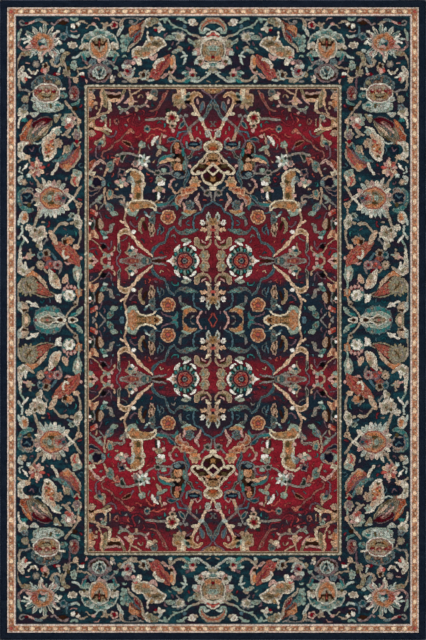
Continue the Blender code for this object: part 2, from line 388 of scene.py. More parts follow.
def smooth(points, closed=False):
    """Points about 1 mm apart on the smooth curve through a motif's own points."""
    given = np.array(points, float)
    if closed:
        given = np.vstack([given[-1:], given, given[:2]])
    else:
        given = np.vstack([2 * given[0] - given[1], given, 2 * given[-1] - given[-2]])
    found = []
    for before, here, after, last in zip(given, given[1:], given[2:], given[3:]):
        count = max(2, int(np.hypot(*(after - here)[:2])))
        t = np.arange(count)[:, None] / count
        bend = 2 * before - 5 * here + 4 * after - last + t * (3 * (here - after) + last - before)
        found.append(here + 0.5 * t * (after - before + t * bend))
    return np.vstack(found + [given[-2:-1]])


def widened(mask, cells):
    """A mask grown by some cells on every side."""
    for _ in range(cells):
        wide = mask.copy()
        wide[1:] |= mask[:-1]
        wide[:-1] |= mask[1:]
        wide[:, 1:] |= mask[:, :-1]
        wide[:, :-1] |= mask[:, 1:]
        mask = wide
    return mask


def cells_about(low_u, high_u, low_v, high_v):
    """The chart cells round a motif: their slices, and their middles in millimetres, as the wool wanders."""
    columns, rows = (
        slice(max(0, int(low / CELL) - SPARE_CELLS), min(count, int(high / CELL) + SPARE_CELLS))
        for low, high, count in ((low_u, high_u, CHART_COLUMNS), (low_v, high_v, CHART_ROWS))
    )
    u = (np.arange(columns.start, columns.stop) + 0.5) * CELL
    v = (np.arange(rows.start, rows.stop) + 0.5) * CELL
    u, v = np.meshgrid(u, v)
    return (rows, columns), u + wobble[0][rows, columns], v + wobble[1][rows, columns]


def dye(area, mask, yarn):
    """Marks cells in one yarn: a dark outline round them, and in a wide shape a paler rim, dark veins and
    specks, and touches of a warmer and a cooler yarn."""
    colour, cover = motif_colour[area], motif_cover[area]
    vein, tint, speck = veins[area], tints[area], specks[area]
    ink, cream = linear(YARNS["ink"]), linear(YARNS["cream"])
    bare = widened(mask, 2) & ~mask & (cover < OUTLINE)
    colour[bare] = ink
    cover[bare] = OUTLINE
    edge = widened(mask, 1) & ~mask & (cover == 1)
    colour[edge] = (1 - INK_SHARE) * colour[edge] + INK_SHARE * ink
    colour[mask] = linear(YARNS[yarn]) * dye_lots[area][mask][:, None]
    cover[mask] = 1
    inside = mask & ~widened(~mask, 2)
    if inside.sum() < WIDE_SHAPE or linear(YARNS[yarn]).max() < DARK_YARN:
        return
    rim = mask & ~inside & widened(inside, 2)
    colour[rim] = (1 - RIM_CREAM) * colour[rim] + RIM_CREAM * cream
    for touched, accent, share in (
        (inside & (tint > 0.3), "apricot", 0.35), (inside & (tint < -0.35), "sage", 0.25),
        (inside & (np.abs(vein) < 0.16), "umber", 0.65), (inside & (speck < -0.5), "umber", 0.55),
        (inside & (speck > 0.6), "cream", 0.4),
    ):
        colour[touched] = (1 - share) * colour[touched] + share * linear(YARNS[accent])


def stroke(yarn, *points):
    """A stem or leaf along a smooth curve, through (across, along, width)."""
    path = smooth(points)
    half = path[:, 2].max() / 2
    low, high = path.min(0) - half, path.max(0) + half
    area, u, v = cells_about(low[0], high[0], low[1], high[1])
    mask = np.zeros(u.shape, bool)
    for across, along, width in path:
        mask |= (u - across) ** 2 + (v - along) ** 2 < (width / 2) ** 2
    dye(area, mask, yarn)


def striped(edge, fill, stripe, *points):
    """A feathered leaf: a rim, and stripes that run its length from the foot to the tip."""
    stroke(edge, *points)
    stroke(fill, *[(across, along, 0.8 * width) for across, along, width in points])
    path = np.array(points, float)
    run = np.gradient(path[:, :2], axis=0)
    aside = np.stack([-run[:, 1], run[:, 0]], 1) / np.hypot(*run.T)[:, None]
    for share in (-0.24, 0, 0.24):
        middles = path[:, :2] + share * path[:, 2:] * aside
        stroke(stripe, *[(*middle, 0.08 * width) for middle, width in zip(middles, path[:, 2])])


def line(yarn, width, *points):
    """A stem of one width."""
    stroke(yarn, *[(across, along, width) for across, along in points])


def rimmed(edge, fill, rim, *points):
    """A leaf in one yarn with a rim in another."""
    stroke(edge, *points)
    stroke(fill, *[(across, along, max(width - 2 * rim, 0.5)) for across, along, width in points])


def disc(yarn, across, along, radius, other=None):
    """A round or oval spot, lobed like a leaf if it is of middling size."""
    other = other or radius
    most = max(radius, other)
    area, u, v = cells_about(across - most, across + most, along - most, along + most)
    du, dv = u - across, v - along
    lobes = np.cos((5 + int(along) % 4) * np.arctan2(dv, du) + across)
    depth = 0.13 if LOBED[0] < most < LOBED[1] else 0.015
    dye(area, (du / radius) ** 2 + (dv / other) ** 2 < (1 + depth * lobes) ** 2, yarn)


def shape(yarn, *points):
    """A closed smooth outline, filled."""
    path = smooth(points, closed=True)
    low, high = path.min(0), path.max(0)
    area, u, v = cells_about(low[0], high[0], low[1], high[1])
    inside = np.zeros(u.shape, bool)
    for (u0, v0), (u1, v1) in zip(path, np.roll(path, -1, axis=0)):
        if v0 != v1:
            inside ^= ((v0 > v) != (v1 > v)) & (u < u0 + (v - v0) * (u1 - u0) / (v1 - v0))
    dye(area, inside, yarn)


def ray(yarn, across, along, angle, near, far, width):
    """One pointed petal that leads away from a middle."""
    c, s = math.cos(math.radians(angle)), math.sin(math.radians(angle))
    reach = near + 0.6 * (far - near)
    stroke(yarn, (across + near * c, along + near * s, 0.7 * width),
           (across + reach * c, along + reach * s, width),
           (across + far * c, along + far * s, 0.3 * width))


def flower(across, along, radius, count, petal, heart):
    """A round flower of scalloped petals about a heart."""
    size = 2.4 * radius / count
    for i in range(count):
        angle = 2 * math.pi * i / count
        disc(petal, across + (radius - size) * math.cos(angle), along + (radius - size) * math.sin(angle),
             size)
    disc(petal, across, along, radius * 0.68)
    disc(heart, across, along, radius * 0.5)

# scrolls and leaves of the repeat, v 0..221
rimmed("slate", "steel", 2.5, (143, 97, 5), (153, 98, 9), (167, 113, 7), (172, 132, 8), (180, 150, 8),
       (203, 160, 8), (220, 175, 13), (228, 190, 9), (226, 206, 5))
rimmed("slate", "deep", 2.5, (57, 104, 4), (75, 110, 12), (98, 113, 20), (120, 117, 14), (136, 108, 8),
       (146, 92, 4))
stroke("teal", (66, 105, 6), (85, 110, 13), (98, 106, 12))
line("slate", 6, (72, 98), (73, 75), (68, 54), (56, 43), (44, 37))
stroke("pink", (42, 33, 5), (50, 20, 6), (57, 6, 7), (60, -6, 6))
stroke("fog", (121, 68, 6), (123, 79, 11), (121, 88, 5))
stroke("deep", (96, 54, 5), (110, 58, 13), (126, 66, 5))
rimmed("tan", "ochre", 3.5, (61, 34, 4), (78, 38, 13), (97, 37, 22), (106, 24, 14), (113, 5, 5))
stroke("sage", (84, 49, 4), (100, 50, 9), (115, 42, 7))
disc("apricot", 101, 32, 8, 9)
disc("peach", 168, 56, 27)
disc("brick", 168, 56, 21)
for angle in range(22, 360, 45):
    disc("apricot", 168 + 15 * math.cos(math.radians(angle)), 56 + 15 * math.sin(math.radians(angle)), 4.5)
disc("crimson", 168, 56, 10)
disc("rose", 168, 56, 6)
rimmed("slate", "teal", 2.5, (136, 32, 4), (134, 18, 12), (143, 7, 14), (160, 14, 6))
line("mauve", 5, (158, 15), (173, 15), (187, 22), (192, 31))
rimmed("slate", "navy", 2.5, (192, 119, 5), (191, 100, 14), (198, 84, 6))
stroke("slate", (206, 124, 4), (206, 108, 7), (200, 96, 5))
stroke("pink", (233, 131, 5), (228, 124, 10))
rimmed("tan", "umber", 4, (230, 124, 10), (228, 105, 20), (233, 86, 14), (226, 74, 6))
stroke("tan", (228, 108, 8), (230, 92, 8))
rimmed("slate", "deep", 3, (221, 84, 6), (228, 64, 24), (226, 46, 16), (222, 38, 5))
stroke("mist", (238, 58, 5), (250, 50, 7))
rimmed("tan", "khaki", 3, (266, 118, 7), (275, 100, 11), (273, 80, 13), (262, 66, 15))
stroke("umber", (252, 104, 6), (256, 86, 9), (262, 76, 5))
line("mauve", 5, (284, 91), (295, 94), (304, 86), (307, 75))
line("slate", 5, (196, 42), (214, 41))
stroke("slate", (250, 44, 8), (256, 36, 6))
# the great leaf that lies across the middle
stroke("ochre", (196, 0, 12), (228, 1, 30), (262, 1, 32), (300, 10, 44))
stroke("sage", (284, 34, 12), (300, 42, 26), (318, 34, 14))
stroke("apricot", (301, 30, 18), (303, 14, 26), (300, 0, 30))
stroke("umber", (218, 4, 6), (208, -2, 8))
line("olive", 4, (252, 14), (268, 10), (282, 14))
line("cream", 6, (215, 35), (222, 23), (238, 18), (258, 17), (272, 22), (284, 35))
line("cream", 7, (186, -6), (197, 8), (209, 16))
line("cream", 6, (318, -4), (323, 12), (325, 28), (321, 42))
# middle flower on the rug's centre line
stroke("tan", (20, 140, 8), (16, 125, 12), (14, 108, 18), (16, 92, 18), (14, 74, 24))
disc("peach", 35, 104, 12, 8)
disc("ivory", 38, 78, 9, 10)
stroke("mist", (12, 72, 12), (16, 58, 20), (17, 42, 7))
disc("olive", 15, 58, 4, 9)
disc("ochre", 6, 74, 9, 13)
stroke("umber", (22, 88, 6), (36, 90, 6))
disc("rose", 2, 106, 8, 7)
stroke("cream", (8, 130, 5), (22, 133, 8), (26, 144, 4))
# curled leaf and twin buds
rimmed("tan", "khaki", 4, (8, 142, 5), (14, 160, 8), (30, 171, 10), (48, 168, 14), (60, 154, 20),
       (60, 138, 14))
stroke("olive", (34, 164, 6), (46, 160, 8))
line("pink", 5, (30, 154), (43, 144))
stroke("tan", (38, 172, 6), (36, 186, 6))
disc("tan", 31, 201, 18, 18)
disc("khaki", 35, 201, 11, 14)
disc("sage", 37, 202, 5, 8)
# great rosette
disc("moss", 104, 221, 44, 52)
for angle in range(18, 360, 36):
    ray("sage", 106, 221, angle, 38, 50, 8)
    ray("teal", 106, 221, angle + 18, 37, 48, 7)
stroke("ivory", (64, 180, 5), (72, 174, 11), (83, 165, 6))
stroke("ivory", (86, 149, 7), (99, 155, 12), (109, 164, 6))
stroke("ivory", (126, 162, 5), (134, 174, 12), (143, 186, 6))
disc("sage", 101, 145, 15, 7)
line("ivory", 9, (66, 200), (54, 221), (66, 242))
shape("ivory", (151, 203), (159, 215), (173, 221), (159, 227), (151, 239), (146, 228), (146, 214))
disc("tan", 150, 221, 5, 8)
disc("pink", 137, 211, 7, 5)
disc("mauve", 106, 221, 34)
disc("plum", 106, 221, 31)
disc("red", 106, 221, 26)
disc("plum", 108, 221, 13)
disc("fog", 106, 221, 9)
disc("deep", 106, 221, 4)
# stems that run out to the side flower
line("fog", 6, (176, 203), (188, 208), (206, 210), (228, 215))
line("umber", 5, (180, 221), (232, 221))
disc("fog", 275, 205, 13, 13)
disc("fog", 262, 221, 34, 18)
disc("deep", 249, 221, 18, 14)
rimmed("fog", "dim", 4, (284, 221, 26), (306, 221, 28), (334, 221, 18), (348, 221, 6))
line("mauve", 5, (350, 196), (358, 208), (361, 221))
disc("tan", 307, 188, 20, 17)
disc("sage", 304, 190, 13, 12)
disc("deep", 311, 184, 8, 6)
disc("ivory", 302, 172, 6)
disc("pink", 290, 182, 6, 8)
stroke("tan", (313, 170, 6), (314, 155, 4))
# pale vine
stroke("blush", (227, 204, 5), (238, 194, 6), (250, 184, 8), (262, 174, 10), (273, 163, 17),
       (283, 152, 11), (292, 141, 9), (304, 127, 10), (316, 115, 11))
disc("peach", 273, 161, 7, 6)
stroke("blush", (312, 122, 9), (322, 111, 17), (335, 110, 21), (347, 120, 15), (354, 138, 8), (353, 155, 6))
stroke("ochre", (318, 112, 8), (332, 110, 12), (344, 119, 7))
stroke("blush", (312, 114, 8), (318, 98, 7), (328, 83, 8), (344, 71, 7))
disc("ivory", 297, 114, 7)
line("tan", 6, (327, 82), (331, 66), (328, 50), (325, 40))
# outer leaves and the side flower
stroke("fog", (372, 84, 6), (381, 93, 14), (381, 106, 10), (391, 113, 9), (403, 119, 6))
stroke("teal", (404, 128, 12), (411, 116, 16), (420, 110, 6))
disc("mist", 403, 134, 9, 5)
stroke("sage", (364, 44, 16), (374, 42, 22))
stroke("teal", (378, 32, 12), (385, 20, 20), (394, 8, 8))
line("tan", 6, (367, 168), (374, 186), (390, 197), (408, 191), (420, 178), (428, 163))
line("mauve", 5, (380, 150), (380, 166), (388, 176), (398, 168), (406, 156), (420, 156))
disc("ink", 409, 168, 8, 10)
disc("pink", 378, 198, 6)
disc("pink", 388, 211, 7, 6)
stroke("sage", (386, 201, 8), (399, 203, 10), (408, 197, 6))
line("tan", 7, (402, 204), (415, 212), (419, 222))
line("tan", 4, (428, 163), (440, 152), (452, 142), (458, 134))
rimmed("fog", "moss", 3, (352, 158, 8), (352, 174, 12), (348, 192, 6))
disc("peach", 461, 234, 18, 15)
disc("peach", 461, 208, 18, 15)
disc("umber", 456, 221, 8, 5)
stroke("pink", (431, 224, 6), (442, 217, 10), (450, 211, 10))
disc("sage", 458, 199, 9, 8)
stroke("peach", (432, 134, 7), (444, 123, 18), (448, 108, 12))
disc("rust", 454, 120, 7, 15)
disc("peach", 462, 132, 7, 12)
stroke("tan", (419, 100, 7), (420, 85, 21), (423, 68, 10))
stroke("umber", (429, 104, 8), (434, 85, 8), (431, 66, 6))
disc("moss", 452, 82, 10, 24)
disc("ivory", 462, 81, 6, 6)
line("fog", 5, (446, 102), (441, 82), (448, 62))
line("pink", 5, (452, 72), (463, 66))
stroke("rose", (435, 50, 10), (446, 40, 20), (456, 30, 9))
stroke("brick", (448, 46, 6), (456, 40, 10))
disc("pink", 436, 46, 6, 7)
line("mauve", 5, (416, 64), (420, 52), (426, 42))
line("tan", 5, (434, 30), (438, 14))
line("fog", 5, (400, -4), (412, 12), (423, 26))
stroke("fog", (438, -4, 6), (450, 8, 8))
disc("slate", 341, 4, 9, 9)
for chart in (motif_colour, motif_cover):
    chart[177:354, :372] = chart[176::-1, :372]

# 442 to 560 mm along: stems, the pale column and small flowers
stroke("pink", (43, 408, 5), (50, 425, 8), (56, 438, 10), (65, 448, 12), (60, 458, 9), (54, 470, 8))
disc("slate", 88, 430, 17, 18)
disc("deep", 90, 431, 9, 11)
line("pink", 7, (111, 437), (104, 424), (107, 412))
rimmed("tan", "rust", 5, (98, 466, 16), (118, 464, 20), (132, 452, 18), (132, 438, 12), (122, 428, 6))
line("pink", 5, (100, 457), (112, 455), (122, 444), (125, 434))
rimmed("peach", "rust", 5, (62, 492, 8), (82, 487, 24), (106, 484, 26), (112, 472, 16))
line("tan", 6, (116, 494), (130, 480), (142, 474), (150, 486), (160, 500))
disc("fog", 22, 476, 15, 13)
disc("moss", 22, 476, 7, 6)
line("fog", 6, (10, 472), (5, 458), (6, 446))
line("fog", 7, (32, 484), (44, 496))
disc("cream", 3, 492, 10, 8)
line("slate", 6, (0, 443), (14, 435), (28, 428), (38, 416), (42, 402))
rimmed("slate", "deep", 3, (143, 466, 7), (156, 456, 16), (168, 443, 9))
rimmed("slate", "teal", 3, (166, 438, 8), (190, 431, 14), (214, 429, 14))
line("mauve", 5, (163, 430), (180, 422), (198, 418))
rimmed("cream", "ochre", 7, (283, 452, 40), (282, 480, 42), (284, 508, 44), (286, 530, 46))
disc("olive", 280, 466, 8, 10)
disc("apricot", 282, 490, 10, 12)
disc("olive", 276, 520, 9, 6)
stroke("ochre", (284, 538, 34), (298, 548, 22))
line("cream", 8, (262, 515), (261, 538), (272, 552), (288, 560), (306, 563), (322, 556), (331, 543))
stroke("ochre", (304, 430, 16), (282, 430, 30), (250, 431, 20), (228, 428, 12))
disc("apricot", 284, 428, 9, 8)
line("cream", 6, (318, 428), (306, 442), (286, 449), (258, 448), (238, 444), (222, 436), (213, 424),
     (214, 412))
stroke("mist", (296, 500, 10), (302, 520, 15), (308, 536, 8))
disc("slate", 315, 526, 8, 12)
disc("cream", 262, 508, 9, 10)
disc("pink", 304, 465, 8, 6)
stroke("fog", (326, 422, 8), (336, 438, 14), (348, 446, 9))
line("fog", 9, (334, 446), (334, 461), (352, 462), (378, 464))
disc("tan", 386, 470, 13, 18)
disc("teal", 386, 473, 8, 12)
stroke("slate", (402, 446, 5), (397, 430, 18), (389, 416, 15), (384, 408, 6))
line("tan", 7, (402, 494), (408, 472), (404, 452), (402, 434))
rimmed("fog", "sage", 3, (410, 468, 7), (424, 458, 14), (434, 446, 10), (420, 437, 8))
line("fog", 6, (436, 446), (448, 436), (460, 423))
rimmed("mauve", "navy", 4, (424, 492, 5), (440, 480, 14), (456, 474, 18), (470, 480, 20))
disc("pink", 185, 483, 7, 8)
disc("khaki", 203, 489, 15, 11)
disc("pink", 220, 483, 7, 6)
stroke("moss", (212, 476, 6), (213, 464, 8), (212, 452, 5))
stroke("ivory", (203, 475, 8), (203, 462, 10), (204, 451, 6))
line("tan", 5, (206, 448), (214, 440))
# latticed centre flower
shape("umber", (0, 630), (18, 625), (40, 600), (62, 577), (80, 560), (68, 546), (44, 546), (40, 530),
      (22, 514), (0, 500), (-22, 514), (-40, 530), (-80, 560), (-18, 625))
disc("ochre", 4, 612, 14, 12)
disc("apricot", 12, 584, 12, 9)
disc("peach", 22, 602, 5, 9)
disc("olive", 42, 577, 10, 7)
disc("plum", 42, 560, 14, 5)
disc("plum", 0, 562, 12, 14)
disc("plum", 26, 540, 10, 8)
disc("ochre", 2, 528, 8, 10)
line("cream", 8, (0, 630), (18, 626), (32, 608), (48, 592), (66, 574), (80, 560), (74, 548), (60, 545),
     (42, 549), (40, 532), (28, 518), (8, 506), (-6, 500))
line("cream", 8, (-4, 587), (12, 573), (24, 562), (40, 552), (58, 553))
line("cream", 7, (-4, 542), (12, 552), (22, 562))
line("tan", 6, (22, 606), (30, 588), (50, 586))
stroke("cream", (0, 670, 10), (18, 664, 10), (30, 650, 12), (22, 634, 8), (6, 628, 6))
disc("ochre", 0, 648, 22, 15)
disc("rust", 0, 642, 14, 8)
# slate bowl and its stem
rimmed("fog", "moss", 3, (74, 636, 8), (84, 614, 10), (98, 600, 12))
rimmed("slate", "teal", 3, (97, 598, 8), (105, 578, 20), (100, 558, 8))
rimmed("slate", "deep", 3, (90, 545, 8), (98, 532, 12), (105, 515, 10), (106, 496, 7))
line("slate", 5, (98, 560), (91, 552), (90, 540))
stroke("slate", (44, 668, 8), (50, 648, 12), (72, 639, 14), (96, 648, 10), (100, 666, 7))
stroke("tan", (54, 650, 5), (72, 643, 6), (90, 650, 5))
disc("navy", 72, 656, 23, 10)
stroke("slate", (60, 657, 5), (72, 657, 8), (86, 656, 5))
line("pink", 5, (48, 674), (58, 683), (66, 671), (78, 674))
disc("pink", 86, 575, 7, 5)
# tall layered flower
shape("slate", (100, 545), (98, 580), (102, 606), (108, 640), (120, 668), (140, 674), (154, 655),
      (160, 632), (154, 604), (160, 575), (154, 542), (130, 530), (110, 532))
shape("umber", (105, 548), (104, 580), (107, 606), (113, 640), (122, 662), (138, 668), (149, 652),
      (154, 632), (148, 604), (154, 575), (148, 546), (130, 536), (114, 538))
disc("navy", 129, 547, 22, 10)
disc("slate", 132, 545, 12, 7)
disc("apricot", 130, 574, 20, 14)
disc("peach", 122, 572, 6, 10)
disc("teal", 107, 580, 6, 18)
disc("teal", 112, 630, 6, 16)
disc("tan", 132, 600, 13, 6)
disc("ink", 140, 616, 12, 9)
disc("apricot", 136, 650, 9, 16)
disc("rose", 130, 632, 12, 9)
disc("olive", 150, 590, 6, 16)
rimmed("slate", "teal", 3, (148, 618, 8), (168, 612, 12), (184, 608, 16), (198, 597, 10), (208, 580, 6))
stroke("peach", (150, 600, 9), (166, 600, 13), (182, 594, 12), (198, 588, 7))
line("mauve", 6, (157, 560), (163, 576), (178, 580), (196, 579), (206, 570))
line("fog", 7, (150, 556), (162, 550), (180, 549), (198, 548), (216, 552), (236, 559), (254, 573))
disc("sage", 184, 561, 9, 9)
disc("fog", 206, 551, 13, 13)
disc("moss", 207, 550, 7, 7)
rimmed("mauve", "deep", 3.5, (140, 677, 12), (155, 676, 18), (168, 675, 12))
line("mauve", 5, (166, 670), (173, 664))
# branching vine, right of the centre
line("mauve", 8, (54, 752), (66, 739), (78, 728), (88, 720))
disc("fog", 89, 711, 10, 12)
line("fog", 6, (94, 722), (103, 735), (109, 750), (112, 760))
rimmed("fog", "deep", 3.5, (108, 744, 7), (116, 731, 18), (125, 722, 9))
line("slate", 6, (98, 705), (118, 706), (130, 699), (134, 686))
line("mauve", 6, (98, 700), (112, 690), (120, 672), (118, 652), (106, 642))
stroke("tan", (88, 700, 9), (82, 688, 12), (79, 674, 7))
disc("fog", 103, 765, 8, 6)
disc("fog", 124, 762, 8, 5)
stroke("sage", (174, 635, 7), (190, 642, 16), (206, 650, 12), (202, 662, 6))
stroke("tan", (196, 638, 8), (203, 628, 14), (210, 618, 8))
disc("mauve", 208, 667, 10, 13)
disc("slate", 209, 666, 5, 7)
stroke("ivory", (204, 687, 5), (216, 680, 9), (224, 668, 10), (226, 657, 7))
line("tan", 5, (197, 664), (197, 680), (190, 696))
line("rose", 6, (176, 706), (190, 710), (208, 718), (224, 714), (236, 716))
disc("fog", 246, 715, 12, 13)
disc("deep", 246, 715, 6, 6)
disc("pink", 180, 688, 7, 6)
line("rose", 6, (216, 690), (227, 694), (238, 688), (252, 672))
disc("sage", 264, 656, 12, 13)
line("tan", 6, (270, 646), (275, 630), (280, 620))
disc("sage", 197, 521, 18, 16)
disc("ivory", 188, 512, 9, 9)
disc("ivory", 202, 508, 7, 7)
line("pink", 8, (145, 527), (156, 518), (165, 500))
disc("peach", 68, 514, 21, 21)
disc("khaki", 66, 522, 12, 8)
disc("apricot", 70, 504, 13, 8)
# pale rosette and the side branches
for angle in range(10, 360, 45):
    ray("ivory" if angle % 2 else "mist", 262, 596, angle, 6, 27, 12)
for angle in (10, 100, 190, 280):
    ray("mist", 262, 596, angle, 4, 24, 11)
disc("moss", 270, 606, 4)
disc("sage", 262, 596, 9, 8)
disc("khaki", 258, 596, 5)
disc("pink", 271, 568, 7, 8)
disc("pink", 290, 585, 12, 12)
disc("fog", 290, 586, 6)
rimmed("mauve", "moss", 3, (282, 618, 7), (286, 606, 14), (290, 594, 7))
line("fog", 8, (284, 614), (302, 621), (322, 624), (344, 622), (362, 615))
rimmed("fog", "moss", 3.5, (328, 620, 8), (340, 612, 20), (342, 596, 10))
stroke("rose", (352, 606, 8), (360, 596, 14), (358, 582, 5))
line("rose", 6, (364, 606), (380, 609))
line("tan", 6, (364, 602), (374, 590), (380, 578))
rimmed("fog", "teal", 4, (378, 592, 8), (386, 577, 30), (386, 560, 16))
stroke("tan", (394, 566, 9), (403, 554, 11), (408, 540, 8))
stroke("brick", (444, 596, 10), (456, 584, 16), (460, 568, 8))
stroke("pink", (404, 587, 7), (413, 592, 10), (421, 596, 10), (432, 588, 12), (442, 582, 12),
       (450, 570, 9), (458, 555, 9))
disc("cream", 455, 549, 14, 10)
disc("fog", 433, 515, 31, 22)
disc("night", 434, 516, 21, 17)
disc("slate", 410, 511, 8, 12)
disc("sage", 460, 515, 8, 12)
line("tan", 6, (419, 527), (430, 537), (444, 536), (456, 546))
disc("mauve", 341, 552, 15, 14)
disc("navy", 340, 554, 8, 7)
line("mauve", 5, (353, 545), (354, 535))
disc("sage", 345, 513, 20, 13)
disc("pink", 337, 527, 9, 6)
disc("pink", 360, 517, 9, 6)
disc("pink", 325, 509, 8, 8)
disc("cream", 343, 502, 8, 6)
line("dim", 7, (324, 702), (336, 690), (345, 676), (360, 669), (374, 660), (380, 646), (394, 637),
     (410, 630), (417, 614), (408, 604))
line("dim", 5, (372, 676), (376, 660))
rimmed("rose", "umber", 4, (306, 650, 7), (320, 660, 19), (337, 667, 10))
line("mauve", 6, (298, 640), (307, 651))
stroke("rose", (297, 702, 7), (308, 711, 12), (318, 702, 9), (330, 697, 5))
shape("tan", (402, 656), (404, 676), (416, 683), (432, 672), (445, 662), (432, 652), (414, 650))
disc("sage", 418, 666, 9, 8)
disc("deep", 425, 657, 7, 8)
stroke("tan", (408, 692, 5), (408, 678, 9))
stroke("mauve", (424, 650, 10), (426, 640, 6))
line("mauve", 6, (434, 650), (438, 630), (438, 612), (430, 603))
line("mauve", 7, (362, 706), (368, 693), (381, 686), (394, 690), (406, 702))
stroke("khaki", (389, 695, 6), (402, 702, 11), (412, 708, 7))
stroke("cream", (383, 709, 8), (392, 713, 11), (402, 718, 11), (402, 730, 7))
stroke("peach", (404, 720, 8), (418, 713, 10), (432, 717, 10), (446, 722, 12))
disc("ochre", 459, 736, 18, 18)
disc("peach", 456, 728, 10, 12)
disc("umber", 456, 716, 9, 5)
disc("tan", 458, 699, 17, 12)
# upper end: white flower, shell leaves and cartouche
stroke("blush", (4, 676, 6), (10, 690, 7), (20, 705, 8), (30, 718, 9), (37, 732, 8), (42, 748, 13),
       (51, 762, 8), (60, 778, 10), (68, 792, 11), (76, 806, 9), (82, 815, 6))
disc("mist", 20, 697, 10, 13)
stroke("pink", (5, 711, 5), (18, 714, 8))
stroke("cream", (58, 769, 8), (68, 772, 13), (78, 773, 6))
disc("mist", 42, 752, 12, 8)
rimmed("mauve", "slate", 4, (38, 817, 7), (42, 798, 20), (48, 780, 9))
rimmed("slate", "deep", 3.5, (4, 814, 7), (12, 798, 18), (22, 780, 12), (30, 762, 14))
rimmed("peach", "ochre", 5, (43, 836, 12), (56, 846, 14), (74, 842, 22), (85, 828, 26), (80, 810, 12))
stroke("pink", (58, 824, 8), (58, 812, 7))
stroke("peach", (120, 868, 36), (116, 846, 27), (116, 820, 18))
stroke("cream", (116, 864, 14), (114, 842, 14), (116, 822, 8))
disc("ochre", 136, 836, 15, 11)
line("tan", 5, (122, 848), (138, 846), (148, 836), (150, 818))
disc("khaki", 128, 812, 20, 14)
disc("tan", 108, 799, 9, 8)
stroke("sage", (90, 848, 10), (98, 838, 14), (104, 824, 10))
disc("moss", 95, 835, 6, 6)
disc("ink", 93, 816, 8, 6)
line("mauve", 6, (85, 797), (96, 806))
stroke("tan", (128, 800, 14), (126, 788, 8))
rimmed("slate", "moss", 2.5, (120, 788, 7), (130, 776, 8))
flower(153, 756, 27, 9, "cream", "rose")
disc("crimson", 153, 756, 8)
for angle in range(20, 360, 72):
    ray("olive", 153, 756, angle, 12, 18, 6)
line("fog", 8, (176, 753), (200, 754), (226, 750), (252, 748))
disc("tan", 153, 727, 12, 11)
disc("moss", 153, 727, 6, 5)
disc("pink", 150, 709, 6, 8)
disc("moss", 169, 785, 8, 7)
stroke("dim", (171, 854, 8), (182, 841, 15), (188, 825, 12), (198, 808, 10), (207, 792, 8), (222, 784, 7),
       (242, 779, 5))
disc("fog", 220, 853, 13, 15)
disc("deep", 221, 851, 8, 10)
disc("cream", 236, 836, 13, 10)
disc("pink", 245, 846, 7, 8)
disc("tan", 218, 828, 8, 7)
line("pink", 7, (246, 824), (251, 810), (243, 797))
line("dim", 6, (212, 778), (217, 764), (232, 757), (250, 757))
disc("ochre", 4, 860, 32, 12)
line("mauve", 6, (42, 862), (30, 852), (18, 846), (8, 836), (2, 826))
stroke("slate", (4, 824, 6), (10, 814, 6))
line("tan", 6, (268, 864), (284, 853), (298, 848), (308, 838))
stroke("peach", (306, 832, 10), (308, 819, 24), (306, 804, 10))
stroke("pink", (286, 817, 6), (298, 820, 10))
stroke("pink", (318, 820, 10), (330, 811, 5))
line("tan", 6, (308, 838), (310, 852), (316, 866))
line("fog", 7, (250, 807), (272, 800), (290, 798), (308, 799), (318, 792), (326, 782))
disc("tan", 287, 788, 5, 9)
stroke("sage", (326, 786, 8), (340, 787, 12), (353, 797, 6))
stroke("fog", (338, 784, 8), (347, 775, 6))
disc("pink", 320, 774, 6, 5)
line("khaki", 9, (330, 868), (336, 847), (350, 832))
disc("umber", 378, 838, 36, 9)
line("pink", 6, (334, 841), (340, 827), (352, 817), (358, 811))
stroke("peach", (350, 824, 8), (372, 823, 13), (396, 824, 13))
line("pink", 8, (348, 851), (364, 846), (380, 850), (398, 850), (412, 860))
stroke("khaki", (412, 860, 12), (408, 838, 20), (405, 815, 20), (400, 797, 10))
line("peach", 7, (416, 862), (421, 842), (414, 822), (419, 800))
stroke("cream", (388, 820, 8), (386, 804, 10), (388, 790, 8))
line("tan", 8, (382, 786), (394, 778), (410, 772), (424, 766), (438, 757), (456, 752))
line("tan", 6, (418, 800), (424, 785), (433, 768))
disc("sage", 409, 757, 11, 10)
stroke("tan", (404, 750, 8), (400, 737, 6))
disc("pink", 419, 745, 5)
disc("fog", 457, 856, 13, 12)
disc("olive", 457, 861, 7, 5)
disc("peach", 460, 836, 17, 14)
disc("apricot", 458, 809, 16, 14)
disc("tan", 440, 812, 8, 7)
disc("fog", 461, 790, 8, 8)
disc("tan", 437, 793, 6)
line("dim", 6, (256, 746), (272, 733), (286, 728), (301, 738), (297, 755), (291, 772))
line("dim", 5, (302, 772), (326, 764), (346, 760))
disc("dim", 360, 743, 10, 13)
disc("plum", 361, 746, 5, 6)
line("dim", 6, (344, 728), (350, 718), (340, 712))


TENDRIL_WIDTH, TENDRIL_STEP = 3.2, 6  # millimetres


def scatter(low_u, high_u, low_v, high_v, count, seed, yarns):
    """Thin curling tendrils and small leaves, wherever there is room on the ground."""
    draw = np.random.default_rng(seed)
    for _ in range(count):
        u, v, heading, bend = draw.uniform((low_u, low_v, 0, -1), (high_u, high_v, 2 * math.pi, 1))
        yarn = yarns[draw.integers(len(yarns))]
        leaf = draw.uniform(3, 7)
        path = []
        for step in range(draw.integers(3, 8)):
            area, _, _ = cells_about(u, u, v, v)
            if motif_cover[area].max() > 0 or not (low_u <= u < high_u and low_v <= v < high_v):
                break
            path.append((u, v, leaf if step == 1 else TENDRIL_WIDTH))
            u, v = u + TENDRIL_STEP * math.cos(heading), v + TENDRIL_STEP * math.sin(heading)
            heading += bend
        if len(path) > 2:
            stroke(yarn, *path)


